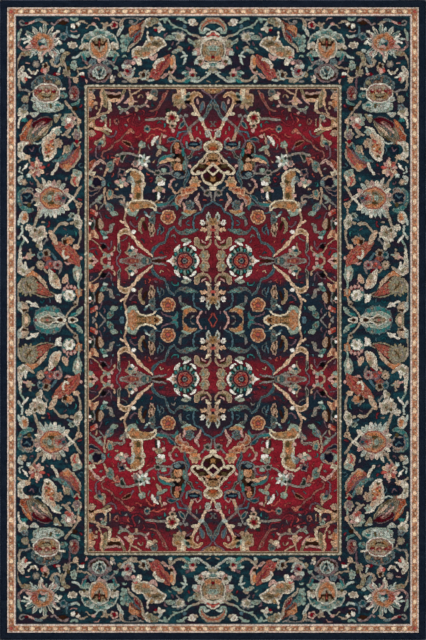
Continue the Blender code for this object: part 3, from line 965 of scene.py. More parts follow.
FIELD_U, FIELD_V = (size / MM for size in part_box("pile_field")[1].xy)
scatter(0, FIELD_U, 0, FIELD_V, 2200, 11, ("slate", "mauve", "dim", "teal", "rose", "fog", "deep", "tan"))

# The dye of the ground runs from crimson to plum-black and back as the rug was woven
ABRASH = (
    (-865, "#7c2129"), (-800, "#6c1f27"), (-775, "#3a2028"), (-735, "#381e26"), (-705, "#721e28"),
    (-660, "#801e28"), (-500, "#861f2a"), (-455, "#761e27"), (-420, "#461d26"), (-385, "#241d26"),
    (-300, "#261e27"), (-265, "#4a1f28"), (-225, "#781f28"), (-180, "#701f28"), (-145, "#3c1e27"),
    (-105, "#241d27"), (60, "#241d27"), (110, "#2e1e27"), (150, "#3a1e27"), (180, "#681e27"),
    (235, "#782028"), (300, "#6c1e27"), (350, "#681f27"), (395, "#541f27"), (435, "#2e1e26"),
    (470, "#231c26"), (545, "#261d26"), (590, "#361d26"), (630, "#461e26"), (660, "#6e1e27"),
    (700, "#841d28"), (735, "#701d27"), (765, "#461d26"), (800, "#3c1e26"), (865, "#381e24"),
)
ABRASH_STREAK = 26.0  # how far the bands run into one another, in millimetres
BLUE_SHARE = 0.6
WOVEN_KNOTS = (CHART_ROWS, CHART_COLUMNS)  # a tuft is two cells wide, but a rug is two quarters
rug_clouds = cloud(*WOVEN_KNOTS, 9, 26, 21) + 0.6 * cloud(*WOVEN_KNOTS, 4, 9, 22)
rug_clouds += 0.4 * cloud(*WOVEN_KNOTS, 2, 3, 27)
tuft_draw = np.random.default_rng(23)
tuft_shades = tuft_draw.normal(1, 0.23, (*WOVEN_KNOTS, 1)) + tuft_draw.normal(0, 0.045, (*WOVEN_KNOTS, 3))
row_shades = np.random.default_rng(24).normal(1, 0.035, (WOVEN_KNOTS[0], 1, 1))


def between(places, stops):
    """The colours at some places along a row of (place, sRGB hex) stops."""
    colours = np.array([linear(text) for _, text in stops])
    return np.stack([np.interp(places, [place for place, _ in stops], colours[:, k]) for k in range(3)], -1)


def field_ground(u, v, clouds):
    """The abrash, its bands' edges streaked, with blue dye showing through where the crimson is weak."""
    red = between(v + ABRASH_STREAK * clouds, ABRASH)
    blue = np.clip(0.5 - 3 * clouds, 0, 1)[..., None] * np.clip(1.5 - 18 * red[..., :1], 0, 1)
    red = red * (1 + 0.22 * clouds)[..., None]
    return red * (1 - BLUE_SHARE * blue) + BLUE_SHARE * blue * linear("#15303c")


def woven(ground):
    """The tufts' colours over the whole rug, row by row from the near end, on a zone's ground."""
    pairs = (CHART_ROWS // 2, 2, CHART_COLUMNS // 2, 2)
    cover = motif_cover.reshape(pairs).mean((1, 3))
    colour = (motif_colour * motif_cover[..., None]).reshape(*pairs, 3).mean((1, 3))
    cover, colour = (np.concatenate([quarter[:, ::-1], quarter], 1) for quarter in (cover, colour))
    cover, colour = (np.concatenate([half[::-1], half]) for half in (cover, colour))
    v, u = ((np.arange(n) + 0.5 - n / 2) * KNOT / MM for n in WOVEN_KNOTS)
    under = ground(*np.meshgrid(u, v), rug_clouds)
    return np.clip((under * (1 - cover[..., None]) + colour) * tuft_shades * row_shades, 0, 1)


def cut_pile(name, sheen):
    """Cut heat-set yarn: matt, with painted light on each tuft's tip and painted shade in the gaps round it,
    and a soft sheen.
    """
    made, tree, shader = material(name, roughness=0.88, specular=0.01, sheen=sheen, sheen_roughness=0.4)
    place = add(tree, "TexCoord").outputs["Object"]
    dyed = add(tree, "Attribute", attribute_name="dyed_yarn").outputs["Color"]
    tufts = add(tree, "TexVoronoi", {"Vector": place}, {"Scale": 1 / KNOT, "Randomness": 0.7},
                voronoi_dimensions="3D")
    # Painted highlight on each tuft's tip and painted shade in the gaps between tufts: the dyed colour is
    # scaled up at a tuft's middle and down towards its edges.
    tip_light_gap_shade = add(tree, "MapRange", {"Value": tufts.outputs["Distance"]}, {"From Min": 0.15, "From Max": 0.75,
               "To Min": 1.12, "To Max": 0.72})
    fibres = add(tree, "TexNoise", {"Vector": place}, {"Scale": 1500.0, "Detail": 3.0})
    strands = add(tree, "MapRange", {"Value": fibres.outputs["Fac"]}, {"From Min": 0.3, "From Max": 0.7,
                  "To Min": 0.88, "To Max": 1.12})
    shade = add(tree, "Math", {0: tip_light_gap_shade.outputs[0], 1: strands.outputs[0]}, operation="MULTIPLY")
    shaded = add(tree, "VectorMath", {0: dyed, "Scale": shade.outputs[0]}, operation="SCALE")
    tree.links.new(shaded.outputs[0], shader.inputs["Base Color"])
    bump(tree, shader, shade.outputs[0], 0.9 * MM, 0.6)
    return made


PILE_UNEVEN = 0.28 * MM
TUFT_SHIFT = 0.55 * MM
tuft_heights = np.random.default_rng(25).uniform(-1, 0, (WOVEN_KNOTS[0] + 1, WOVEN_KNOTS[1] + 1))
tuft_heights = 0.65 * tuft_heights + 0.35 * (cloud(*tuft_heights.shape, 14, 14, 26) - 1) / 2
tuft_shifts = np.random.default_rng(28).uniform(-1, 1, (*tuft_heights.shape, 2))
pile_low, pile_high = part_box("pile_field")[0].z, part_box("pile_field")[1].z


def zone_pile(name, node, slot, look, colours, rectangles, splay=0.0):
    """Pile over some rectangles, (low x, low y, high x, high y) in metres: a face for each tuft on top, each
    of its own dyed yarn, and one flat underside. splay leans the outermost tufts out of the rug's edge."""
    bm = bmesh.new()
    for low_x, low_y, high_x, high_y in rectangles:
        columns, rows = round((high_x - low_x) / KNOT), round((high_y - low_y) / KNOT)
        place = Matrix.Translation(((low_x + high_x) / 2, (low_y + high_y) / 2, pile_high))
        size = Matrix.Diagonal((high_x - low_x, high_y - low_y, 1, 1))
        bmesh.ops.create_grid(bm, x_segments=columns, y_segments=rows, size=0.5, matrix=place @ size)
    if len(rectangles) > 1:
        bmesh.ops.remove_doubles(bm, verts=[v for v in bm.verts if v.is_boundary], dist=KNOT / 10)
    bm.verts.index_update()
    fixed = [v.index for v in bm.verts if v.is_boundary]
    rim = [edge for edge in bm.edges if edge.is_boundary]
    walls = bmesh.ops.extrude_edge_only(bm, edges=rim)["geom"]
    foot = [item for item in walls if isinstance(item, bmesh.types.BMVert)]
    bmesh.ops.translate(bm, vec=(0, 0, pile_low - pile_high), verts=foot)
    foot_edges = [item for item in walls if isinstance(item, bmesh.types.BMEdge)]
    bmesh.ops.triangle_fill(bm, edges=foot_edges, use_beauty=False, use_dissolve=False)
    bmesh.ops.recalc_face_normals(bm, faces=bm.faces)
    piece = finished(bm, name, look, slot, node)
    mesh = piece.data
    points = np.empty(len(mesh.vertices) * 3, np.float32)
    mesh.vertices.foreach_get("co", points)
    points = points.reshape(-1, 3)
    row, column = (np.rint(points[:, k] / KNOT).astype(int) + WOVEN_KNOTS[1 - k] // 2 for k in (1, 0))
    top = points[:, 2] > pile_high - KNOT / 10
    points[top, 2] += PILE_UNEVEN * tuft_heights[row[top], column[top]]
    free = top.copy()
    free[fixed] = False
    points[free, :2] += TUFT_SHIFT * tuft_shifts[row[free], column[free]]
    if splay:
        for k in (0, 1):
            outermost = top & (np.abs(points[:, k]) > rug_half[k] - serging_depth - KNOT)
            points[outermost, k] += np.sign(points[outermost, k]) * splay
            points[outermost, 2] -= PILE_UNEVEN * 2
    mesh.vertices.foreach_set("co", points.ravel())
    middles = np.empty(len(mesh.polygons) * 3, np.float32)
    mesh.polygons.foreach_get("center", middles)
    middles = middles.reshape(-1, 3)
    row, column = ((np.floor(middles[:, k] / KNOT)).astype(int) + WOVEN_KNOTS[1 - k] // 2 for k in (1, 0))
    row, column = np.clip(row, 0, WOVEN_KNOTS[0] - 1), np.clip(column, 0, WOVEN_KNOTS[1] - 1)
    dyed = np.ones((len(mesh.polygons), 4), np.float32)
    dyed[:, :3] = colours[row, column]
    mesh.attributes.new("dyed_yarn", "FLOAT_COLOR", "FACE").data.foreach_set("color", dyed.ravel())
    mesh.update()
    return piece


field_look = cut_pile("heatset_cut_pile_field", 0.02)
field_x, field_y = (round(size / KNOT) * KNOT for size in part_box("pile_field")[1].xy)
colours = woven(field_ground)
for name, low_x, low_y in (("far_right", 0, 0), ("far_left", -field_x, 0),
                           ("near_left", -field_x, -field_y), ("near_right", 0, -field_y)):
    zone_pile("field_pile_" + name, "pile_field", "field_pile", field_look, colours,
              [(low_x, low_y, low_x + field_x, low_y + field_y)])

# Inner guard. A narrow stripe round the field, in the same cut pile: a dark line against the border, a
# stone stripe with a row of small paler beads, a line of olive, and a line of tan next to the field.


def ring(outer_x, outer_y, inner_x, inner_y):
    """The four rectangles of a band round the rug, from its outer and inner half sizes."""
    return [(-outer_x, inner_y, outer_x, outer_y), (-outer_x, -outer_y, outer_x, -inner_y),
            (-outer_x, -inner_y, -inner_x, inner_y), (inner_x, -inner_y, outer_x, inner_y)]


def stripe(yarn, half_u, half_v, width):
    """A line round the rug, width wide and inside the given half sizes."""
    u, v = np.meshgrid((np.arange(CHART_COLUMNS) + 0.5) * CELL, (np.arange(CHART_ROWS) + 0.5) * CELL)
    inset = np.minimum(half_u - u, half_v - v)
    mask = (inset > 0) & (inset < width)
    motif_colour[mask] = linear(YARNS[yarn]) * dye_lots[mask][:, None]
    motif_cover[mask] = 1


def plain(text):
    """A ground in one yarn."""
    return lambda u, v, clouds: between(0 * u, ((0, text), (1, text)))


GUARD_U, GUARD_V = (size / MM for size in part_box("pile_inner_guard")[1].xy)
BEADS_ALONG_SIDE, BEADS_ALONG_END = 41, 24
motif_cover[:] = 0
BEAD_INSET = 5.5
stripe("moss", GUARD_U, GUARD_V, 2.5)
stripe("stone", GUARD_U - 2.5, GUARD_V - 2.5, 7.5)
stripe("olive", GUARD_U - 10, GUARD_V - 10, 3.75)
stripe("tan", GUARD_U - 13.75, GUARD_V - 13.75, 3.75)
for i in range(BEADS_ALONG_SIDE):
    disc("bead", GUARD_U - BEAD_INSET, GUARD_V * (i + 0.5) / BEADS_ALONG_SIDE, 3.2, 7)
for i in range(BEADS_ALONG_END):
    disc("bead", GUARD_U * (i + 0.5) / BEADS_ALONG_END, GUARD_V - BEAD_INSET, 6.5, 3.2)
guard_look = cut_pile("heatset_cut_pile_guards", 0.02)
guard_x, guard_y = (round(size / KNOT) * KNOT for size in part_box("pile_inner_guard")[1].xy)
colours = woven(plain("#3a3430"))
zone_pile("inner_guard_pile", "pile_inner_guard", "inner_guard_pile", guard_look, colours,
          ring(guard_x, guard_y, field_x, field_y))

# Main border pile. The widest stripe: sun flowers, palmettes and curled leaves in cream, sage and rust
# on a blue-black ground that turns greener towards the ends. It is cut pile like the field.
motif_cover[:] = 0
# The border's light yarns are greyer than the field's, and the guard outside it keeps to them.
YARNS.update(tan="#9d8d79", peach="#c6a68a", cream="#d2c8b4", khaki="#857c62", ochre="#94754f",
             sage="#869a8c", ivory="#ddd5c4")

# palmette at the middle of the side
disc("slate", 614, 0, 58, 53)
disc("deep", 614, 0, 54, 49)
for across, along, radius in ((654, 26, 12), (638, 38, 12), (618, 43, 12), (598, 42, 12), (582, 34, 11)):
    disc("slate", across, along, radius)
    disc("teal", across, along, radius - 3)
stroke("sage", (664, 0, 8), (654, 14, 16), (634, 22, 18), (604, 24, 16), (582, 18, 10))
stroke("mist", (578, 24, 9), (566, 14, 18), (560, 0, 20))
disc("cream", 570, 0, 17, 13)
disc("umber", 572, 0, 11, 6)
disc("tan", 662, 0, 7, 6)
disc("dim", 664, 0, 4, 4)
shape("ivory", (584, 0), (598, 12), (614, 20), (632, 17), (650, 7), (660, 0), (650, -7), (632, -17),
      (614, -20), (598, -12))
shape("khaki", (590, 0), (602, 9), (615, 15), (630, 13), (645, 5), (652, 0), (645, -5), (630, -13),
      (615, -15), (602, -9))
disc("tan", 618, 0, 14, 8)
disc("rose", 622, 0, 6, 4)
stroke("umber", (600, 4, 3), (612, 9, 4), (628, 8, 3))
disc("cream", 525, 0, 19, 12)
disc("umber", 525, 0, 10, 6)
stroke("sage", (492, 46, 7), (502, 32, 18), (514, 18, 8))
stroke("teal", (514, 26, 5), (526, 20, 9), (534, 14, 4))
line("tan", 7, (502, 92), (507, 74), (513, 60), (522, 48), (535, 35), (545, 20), (552, 12))
disc("tan", 514, 62, 9, 10)
disc("umber", 515, 60, 4, 4)
disc("apricot", 502, 103, 12, 18)
disc("tan", 500, 106, 6, 12)
line("sage", 6, (504, 120), (504, 146))
stroke("sage", (503, 142, 6), (506, 162, 30), (508, 186, 30), (503, 206, 14))
stroke("cream", (505, 152, 6), (506, 165, 14), (508, 182, 10))
# white flower beside it
disc("slate", 557, 97, 9, 17)
for across, along in ((519, 120), (531, 125), (546, 126), (555, 116)):
    disc("pink", across, along, 6, 7)
disc("crimson", 526, 116, 3)
disc("crimson", 540, 118, 3)
disc("teal", 540, 92, 24, 22)
for angle in (0, 60, 120, 180, 240, 300):
    ray("ivory", 538, 94, angle, 4, 20, 15)
disc("khaki", 536, 94, 7, 7)
stroke("ivory", (568, 95, 6), (580, 84, 18), (572, 68, 7))
stroke("ivory", (580, 86, 8), (592, 96, 5))
# crimson feathered leaf
striped("rust", "red", "clay", (503, 204, 10), (516, 224, 34), (536, 244, 52), (560, 264, 46),
        (596, 288, 16))
stroke("rose", (512, 210, 6), (520, 226, 9), (530, 240, 4))
stroke("pink", (534, 212, 5), (546, 210, 8), (556, 216, 5))
line("cream", 8, (561, 258), (560, 243), (552, 230), (542, 236))
stroke("umber", (548, 226, 7), (558, 218, 5))
disc("pink", 494, 232, 6, 7)
# cluster of small rosettes
disc("slate", 645, 243, 13, 15)
disc("deep", 645, 244, 6, 8)
flower(623, 250, 16, 7, "tan", "umber")
disc("crimson", 622, 229, 16, 9)
flower(606, 206, 21, 8, "mauve", "crimson")
flower(582, 206, 17, 7, "pink", "mauve")
disc("crimson", 583, 206, 4)
flower(645, 205, 17, 7, "tan", "peach")
disc("olive", 644, 206, 4)
disc("rose", 608, 212, 5, 5)
disc("crimson", 600, 184, 10, 7)
disc("rose", 624, 196, 7, 7)
line("slate", 8, (586, 226), (597, 238), (603, 248))
stroke("fog", (566, 196, 6), (573, 182, 8), (576, 172, 5))
line("tan", 5, (632, 190), (620, 178))
# peach bud with its sepal
stroke("cream", (577, 124, 18), (592, 142, 36), (603, 166, 24), (612, 186, 8))
stroke("peach", (578, 130, 12), (588, 144, 24), (592, 164, 18))
disc("khaki", 590, 162, 9, 8)
stroke("peach", (549, 166, 12), (553, 154, 20), (558, 142, 12))
line("pink", 6, (540, 136), (548, 152))
# striped leaf
striped("khaki", "tan", "umber", (596, 94, 10), (626, 100, 34), (654, 124, 56), (680, 156, 44),
        (700, 182, 18))
striped("umber", "red", "clay", (608, 94, 8), (630, 104, 32), (656, 122, 42), (684, 148, 18))
line("umber", 5, (632, 128), (648, 148), (664, 160))
stroke("peach", (622, 122, 7), (640, 148, 13), (662, 170, 12))
stroke("apricot", (660, 168, 10), (684, 178, 20), (696, 166, 12))
for angle in range(-75, 256, 22):
    ray("khaki", 692, 126, angle, 14, 38, 11)
disc("fog", 690, 128, 24, 28)
disc("khaki", 688, 128, 20, 24)
stroke("olive", (680, 112, 4), (690, 126, 7), (698, 144, 5))
line("tan", 7, (716, 152), (728, 128), (731, 104), (728, 80), (726, 62))
# cream crescent up the outer side
stroke("cream", (690, 184, 16), (712, 186, 36), (724, 206, 26), (722, 228, 16), (722, 250, 9),
       (720, 274, 8))
stroke("ivory", (696, 192, 6), (702, 204, 8), (702, 216, 5))
stroke("khaki", (704, 182, 8), (716, 190, 10))
stroke("tan", (672, 198, 7), (680, 190, 9), (694, 184, 10))
flower(688, 240, 14, 6, "peach", "tan")
stroke("pink", (696, 236, 9), (708, 232, 9))
stroke("sage", (668, 244, 7), (678, 243, 6))
line("tan", 6, (683, 252), (684, 264))
stroke("ivory", (656, 50, 6), (670, 58, 16), (682, 52, 6))
line("ivory", 7, (678, 60), (688, 67), (700, 68))
disc("tan", 708, 46, 18, 22)
disc("peach", 708, 50, 11, 9)
disc("umber", 704, 38, 9, 5)
disc("mist", 724, 52, 8, 16)
disc("khaki", 700, 8, 14, 18)
disc("peach", 700, 4, 8, 9)
stroke("cream", (712, 26, 6), (718, 38, 8))

# 270 to 550 mm along
line("tan", 7, (508, 266), (502, 286), (497, 306), (497, 330), (502, 348))
disc("peach", 512, 274, 12, 9)
stroke("cream", (498, 346, 10), (506, 364, 30), (508, 386, 18), (506, 396, 6))
stroke("tan", (520, 366, 10), (532, 362, 8))
disc("khaki", 510, 362, 9, 12)
disc("sage", 527, 390, 12, 11)
disc("moss", 524, 388, 5, 5)
stroke("slate", (530, 380, 5), (544, 374, 8))
disc("tan", 544, 298, 23, 17)
disc("apricot", 540, 296, 15, 12)
disc("umber", 554, 292, 7, 9)
stroke("slate", (545, 312, 6), (545, 322, 4))
stroke("peach", (588, 288, 14), (596, 306, 20), (608, 328, 16))
line("tan", 7, (598, 330), (585, 345), (572, 361))
stroke("tan", (546, 358, 8), (560, 362, 13), (572, 360, 8))
line("tan", 6, (503, 396), (503, 418))
disc("peach", 502, 430, 11, 10)
line("tan", 8, (508, 436), (518, 448), (525, 456), (514, 470), (504, 486), (496, 500))
stroke("cream", (526, 456, 14), (540, 464, 12), (552, 482, 8))
line("cream", 7, (526, 455), (540, 442), (551, 428))
# great sun flower
for angle, yarn, far in (
    (150, "pink", 66),
    (130, "mist", 72),
    (112, "tan", 74),
    (95, "pink", 68),
    (78, "cream", 68),
    (62, "cream", 84),
    (48, "tan", 70),
    (232, "mist", 70),
    (246, "mist", 66),
    (262, "ivory", 74),
    (276, "mist", 70),
    (292, "mist", 76),
    (308, "mist", 96),
    (326, "cream", 66),
):
    ray(yarn, 600, 455, angle, 42, far, 15)
for angle, yarn in ((-38, "pink"), (-20, "cream"), (-4, "tan"), (12, "pink"), (28, "cream"),
                    (214, "cream")):
    ray(yarn, 600, 455, angle, 44, 72, 15)
disc("cream", 601, 456, 50, 45)
disc("brick", 602, 456, 47, 42)
disc("apricot", 602, 456, 42, 37)
disc("tan", 576, 456, 22, 24)
disc("mauve", 562, 456, 14, 15)
disc("deep", 559, 456, 7, 6)
disc("rose", 582, 456, 9, 10)
disc("brick", 576, 455, 5, 4)
disc("olive", 606, 473, 12, 8)
disc("olive", 606, 439, 12, 8)
disc("khaki", 622, 455, 14, 14)
disc("sage", 612, 458, 8, 10)
# dark berry in its ring
stroke("teal", (690, 494, 8), (716, 484, 16), (728, 458, 12), (718, 428, 16), (692, 410, 20),
       (676, 414, 12))
stroke("slate", (716, 480, 6), (722, 458, 6), (712, 430, 6))
disc("fog", 694, 460, 26, 26)
disc("navy", 695, 460, 21, 21)
stroke("slate", (684, 468, 3), (694, 456, 6), (706, 464, 3))
disc("fog", 688, 486, 14, 9)
disc("olive", 688, 432, 7, 6)
line("tan", 9, (650, 410), (656, 388), (664, 366), (674, 344))
disc("cream", 708, 384, 17, 24)
disc("apricot", 703, 386, 9, 14)
stroke("mist", (722, 378, 8), (728, 360, 8))
line("mist", 7, (716, 352), (714, 332), (722, 318), (728, 306))
# pale many-lobed leaf
for across, along, radius in ((642, 340, 14), (690, 346, 12), (634, 320, 14), (676, 322, 12),
                              (652, 316, 16), (664, 330, 16), (668, 300, 8)):
    disc("cream", across, along, radius)
disc("khaki", 646, 326, 11, 12)
disc("tan", 668, 318, 8, 12)
disc("olive", 666, 336, 5, 6)
stroke("fog", (620, 302, 8), (630, 292, 7), (636, 284, 5))
stroke("cream", (650, 300, 12), (650, 282, 22), (644, 268, 10))
disc("khaki", 656, 278, 7, 7)
stroke("ivory", (692, 292, 6), (702, 304, 9), (713, 317, 6))
line("sage", 6, (706, 298), (716, 284), (722, 272))
stroke("mist", (714, 536, 8), (726, 528, 12), (722, 510, 8))
flower(708, 517, 13, 6, "tan", "peach")
line("tan", 8, (650, 500), (660, 522), (672, 540), (684, 548))
stroke("peach", (508, 502, 8), (516, 520, 34), (508, 544, 34))
stroke("rose", (516, 506, 4), (520, 522, 10), (512, 536, 6))
stroke("cream", (500, 520, 6), (502, 540, 8))

# 540 to 820 mm along
stroke("sage", (498, 552, 12), (510, 548, 24), (520, 560, 10))
striped("rust", "red", "clay", (500, 652, 5), (510, 628, 20), (526, 604, 38), (552, 582, 34), (582, 588, 9))
line("rose", 4, (508, 628), (516, 604), (534, 584))
line("mauve", 5, (520, 632), (538, 610), (566, 592), (590, 590))
rimmed("slate", "teal", 3, (522, 664, 6), (532, 640, 12), (552, 614, 16), (578, 598, 14), (600, 594, 7))
disc("apricot", 544, 572, 17, 13)
line("tan", 6, (497, 636), (499, 612), (510, 592), (526, 572), (546, 558), (560, 566))
line("cream", 9, (582, 586), (588, 566), (604, 548))
disc("tan", 548, 640, 14, 14)
disc("khaki", 548, 642, 8, 8)
stroke("peach", (556, 640, 8), (562, 622, 6))
stroke("cream", (572, 722, 7), (592, 714, 12), (608, 690, 18), (622, 668, 36), (612, 640, 56),
       (618, 610, 30), (628, 600, 10))
stroke("peach", (590, 700, 10), (604, 676, 20), (612, 650, 44), (616, 624, 30))
disc("apricot", 610, 646, 17, 15)
for across, along, yarn in ((606, 668, "rose"), (596, 656, "olive"), (616, 656, "brick"),
                            (604, 642, "cream"), (624, 642, "olive"), (614, 630, "brick"),
                            (598, 674, "brick"), (626, 626, "rose")):
    disc(yarn, across, along, 5, 4)
disc("tan", 580, 662, 16, 18)
disc("sage", 580, 704, 13, 11)
disc("olive", 620, 612, 7, 5)
line("slate", 4, (642, 650), (650, 640), (646, 626))
# flower with a white heart
for angle, yarn in ((20, "sage"), (65, "sage"), (110, "tan"), (155, "pink"), (200, "tan"),
                    (240, "pink"), (285, "rose"), (330, "sage")):
    ray(yarn, 541, 745, angle, 6, 28, 17)
disc("pink", 540, 742, 15, 16)
disc("ivory", 541, 748, 8, 9)
disc("rose", 538, 730, 8, 6)
stroke("tan", (536, 714, 10), (550, 694, 12), (536, 685, 6))
stroke("tan", (550, 696, 8), (564, 692, 6))
stroke("khaki", (572, 768, 9), (586, 756, 20), (590, 742, 8))
disc("mist", 586, 766, 10, 4)
disc("tan", 508, 694, 17, 22)
disc("mauve", 509, 692, 10, 14)
disc("crimson", 509, 666, 9, 8)
line("tan", 6, (498, 664), (508, 652), (520, 662))
line("tan", 8, (502, 712), (506, 730), (502, 744), (512, 764), (524, 782), (540, 800), (552, 820))
disc("peach", 502, 744, 9, 10)
line("sage", 6, (504, 724), (504, 708))
disc("umber", 519, 790, 9, 8)
# plum feathered leaf
striped("khaki", "olive", "tan", (604, 748, 10), (630, 728, 46), (660, 704, 56), (682, 676, 26),
        (676, 660, 10))
striped("mauve", "plum", "crimson", (604, 750, 8), (632, 744, 34), (664, 732, 24), (676, 722, 8))
stroke("crimson", (624, 742, 5), (648, 734, 12), (666, 722, 6))
line("pink", 4, (632, 740), (650, 724), (668, 708), (676, 698))
stroke("deep", (646, 716, 6), (662, 700, 16), (672, 686, 8))
stroke("peach", (618, 722, 8), (634, 712, 10), (650, 694, 8))
stroke("olive", (640, 690, 4), (656, 676, 6))
line("mist", 5, (640, 668), (656, 660), (672, 664))
stroke("rust", (680, 748, 9), (690, 730, 20), (706, 700, 22), (710, 676, 20), (690, 662, 12))
stroke("apricot", (684, 742, 8), (694, 724, 10))
line("tan", 5, (700, 722), (712, 704), (722, 690))
stroke("cream", (694, 662, 10), (716, 656, 24), (724, 636, 22), (714, 614, 26), (692, 608, 14))
stroke("khaki", (718, 650, 6), (724, 632, 6))
disc("peach", 694, 610, 12, 9)
disc("navy", 676, 636, 19, 19)
stroke("mauve", (668, 644, 3), (676, 632, 5), (686, 640, 3))
stroke("tan", (688, 602, 9), (684, 588, 6))
stroke("tan", (716, 602, 8), (728, 594, 10))
line("pink", 9, (660, 606), (650, 590), (644, 576))
for i in range(9):
    angle = 40 * i + 10
    ray(("pink", "rose", "blush")[i % 3], 660, 566, angle, 8, 30, 14)
    disc("crimson", 660 + 14 * math.cos(math.radians(angle + 20)),
         566 + 14 * math.sin(math.radians(angle + 20)), 3.5)
disc("tan", 660, 566, 8)
disc("brick", 660, 566, 4)
stroke("ivory", (693, 584, 5), (702, 574, 9), (712, 562, 5))
line("mist", 6, (714, 548), (726, 558), (722, 572))
disc("mist", 690, 540, 9, 8)
stroke("mist", (654, 776, 6), (668, 768, 16), (680, 774, 8))
disc("cream", 712, 776, 20, 18)
disc("khaki", 708, 780, 9, 7)
line("cream", 7, (718, 760), (728, 742), (728, 720))
disc("slate", 704, 796, 14, 10)
disc("teal", 706, 748, 12, 8)

# 790 to 1000 mm along: big palmette of the side border's end
disc("sage", 618, 800, 58, 24)
disc("slate", 622, 878, 58, 40)
disc("deep", 622, 878, 54, 36)
for angle in (50, 90, 130):
    ray("slate", 622, 862, angle, 38, 52, 4)
disc("khaki", 580, 889, 10, 9)
disc("teal", 560, 842, 15, 12)
for across, along in ((584, 806), (606, 790), (636, 796), (658, 806), (668, 826)):
    disc("mist", across, along, 14, 10)
disc("teal", 580, 806, 8, 6)
disc("olive", 608, 800, 5, 8)
disc("ivory", 622, 849, 51, 37)
disc("brick", 622, 849, 45, 31)
disc("tan", 622, 849, 42, 28)
disc("ochre", 622, 844, 36, 22)
for across, radius in ((596, 8), (622, 11), (648, 8)):
    disc("crimson", across, 858, radius, 7)
    disc("pink", across + 2, 862, 4, 3)
    disc("peach", across - 12, 852, 4)
stroke("umber", (608, 838, 4), (622, 832, 8), (636, 838, 4))
stroke("khaki", (604, 846, 4), (622, 840, 7), (640, 846, 4))
disc("tan", 622, 826, 14, 4)
line("cream", 6, (556, 866), (570, 866), (580, 860))
disc("crimson", 660, 854, 10, 12)
line("tan", 5, (672, 858), (684, 852), (690, 840))
# pendant, rings and small vine
disc("mauve", 520, 848, 19, 28)
disc("crimson", 519, 850, 12, 22)
disc("tan", 530, 838, 6, 8)
stroke("teal", (500, 826, 6), (508, 812, 12), (528, 806, 8))
line("mauve", 7, (538, 868), (537, 886), (539, 904), (542, 914))
disc("tan", 548, 926, 15, 14)
disc("khaki", 550, 928, 8, 8)
line("tan", 7, (546, 938), (552, 952), (560, 964))
line("tan", 5, (508, 938), (503, 922), (512, 908), (530, 908), (540, 918))
disc("sage", 521, 954, 12, 17)
disc("peach", 513, 897, 10, 11)
disc("ivory", 490, 920, 10, 7)
disc("crimson", 488, 912, 8, 4)
stroke("khaki", (540, 1000, 8), (556, 994, 16), (564, 974, 18), (564, 956, 10))
disc("olive", 540, 942, 6, 7)
stroke("slate", (576, 990, 8), (586, 974, 16), (592, 960, 8))
stroke("mist", (580, 996, 5), (588, 988, 7))
line("tan", 9, (570, 958), (584, 950), (600, 956), (606, 968), (596, 978))
disc("pink", 596, 998, 12, 9)
stroke("mist", (572, 944, 6), (576, 932, 9), (580, 922, 8))
disc("crimson", 590, 920, 8, 6)
disc("pink", 580, 920, 7, 5)
disc("tan", 628, 942, 13, 22)
disc("umber", 628, 952, 6, 9)
disc("pink", 629, 934, 8, 9)
disc("rose", 640, 934, 5, 8)
flower(662, 957, 14, 6, "fog", "tan")
line("cream", 6, (656, 932), (668, 920), (682, 928), (692, 940))
disc("tan", 672, 926, 5, 5)
stroke("cream", (712, 944, 14), (722, 924, 24), (712, 908, 20), (706, 890, 9))
stroke("ivory", (694, 912, 7), (706, 922, 12), (716, 914, 6))
stroke("ivory", (682, 908, 5), (696, 912, 7))
disc("rose", 700, 902, 6, 8)
line("tan", 8, (724, 904), (727, 884), (722, 862))
stroke("fog", (684, 854, 6), (700, 862, 8), (722, 862, 7))
flower(702, 826, 15, 6, "tan", "khaki")
line("tan", 7, (732, 944), (730, 968), (720, 992))

# palmette at the middle of the end, on u = 0
disc("mist", 0, 946, 20, 22)
disc("khaki", 8, 936, 9, 7)
disc("teal", 2, 962, 12, 12)
for across, along, radius, yarn in ((34, 1048, 12, "ivory"), (48, 1040, 12, "cream"),
                                    (56, 1008, 16, "pink"),
                                    (68, 1000, 9, "mist"), (50, 972, 16, "cream"), (42, 962, 12, "pink"),
                                    (62, 966, 9, "mist"), (26, 952, 12, "cream")):
    disc(yarn, across, along, radius)
disc("khaki", 60, 1034, 14, 13)
stroke("sage", (70, 1034, 8), (86, 1044, 12), (92, 1052, 5))
disc("olive", 48, 966, 7, 6)
disc("ivory", 36, 948, 7)
disc("cream", 2, 1012, 46, 50)
disc("olive", 2, 1010, 41, 44)
disc("ochre", 2, 1008, 37, 39)
disc("peach", 12, 1036, 22, 9)
disc("khaki", 14, 1008, 14, 18)
disc("sage", 6, 1018, 12, 10)
disc("apricot", 20, 980, 12, 10)
disc("crimson", 2, 986, 6, 8)
stroke("cream", (-4, 1058, 10), (16, 1056, 12), (34, 1044, 10))
stroke("rose", (-4, 1072, 10), (10, 1068, 8), (22, 1060, 6))
line("cream", 5, (-4, 1080), (10, 1076), (24, 1068))
stroke("tan", (-4, 1122, 22), (18, 1120, 22), (38, 1106, 18), (46, 1088, 14), (42, 1078, 8))
stroke("rust", (-4, 1122, 8), (18, 1119, 8), (36, 1104, 6), (44, 1090, 4))
line("sage", 6, (48, 1096), (50, 1082), (40, 1074), (24, 1080))
stroke("mist", (14, 1086, 6), (26, 1088, 10), (34, 1082, 5))
disc("ivory", 78, 1115, 15, 13)
disc("tan", 64, 1109, 8, 6)
disc("tan", 68, 1108, 5, 4)
line("sage", 6, (60, 1064), (84, 1070), (104, 1084), (128, 1094), (152, 1106), (172, 1124), (200, 1126))
line("tan", 8, (44, 1050), (58, 1062), (74, 1066))
stroke("sage", (106, 1138, 8), (112, 1122, 10), (98, 1112, 5))
stroke("sage", (112, 1124, 8), (126, 1128, 11), (136, 1124, 4))
disc("slate", 105, 1099, 8, 7)
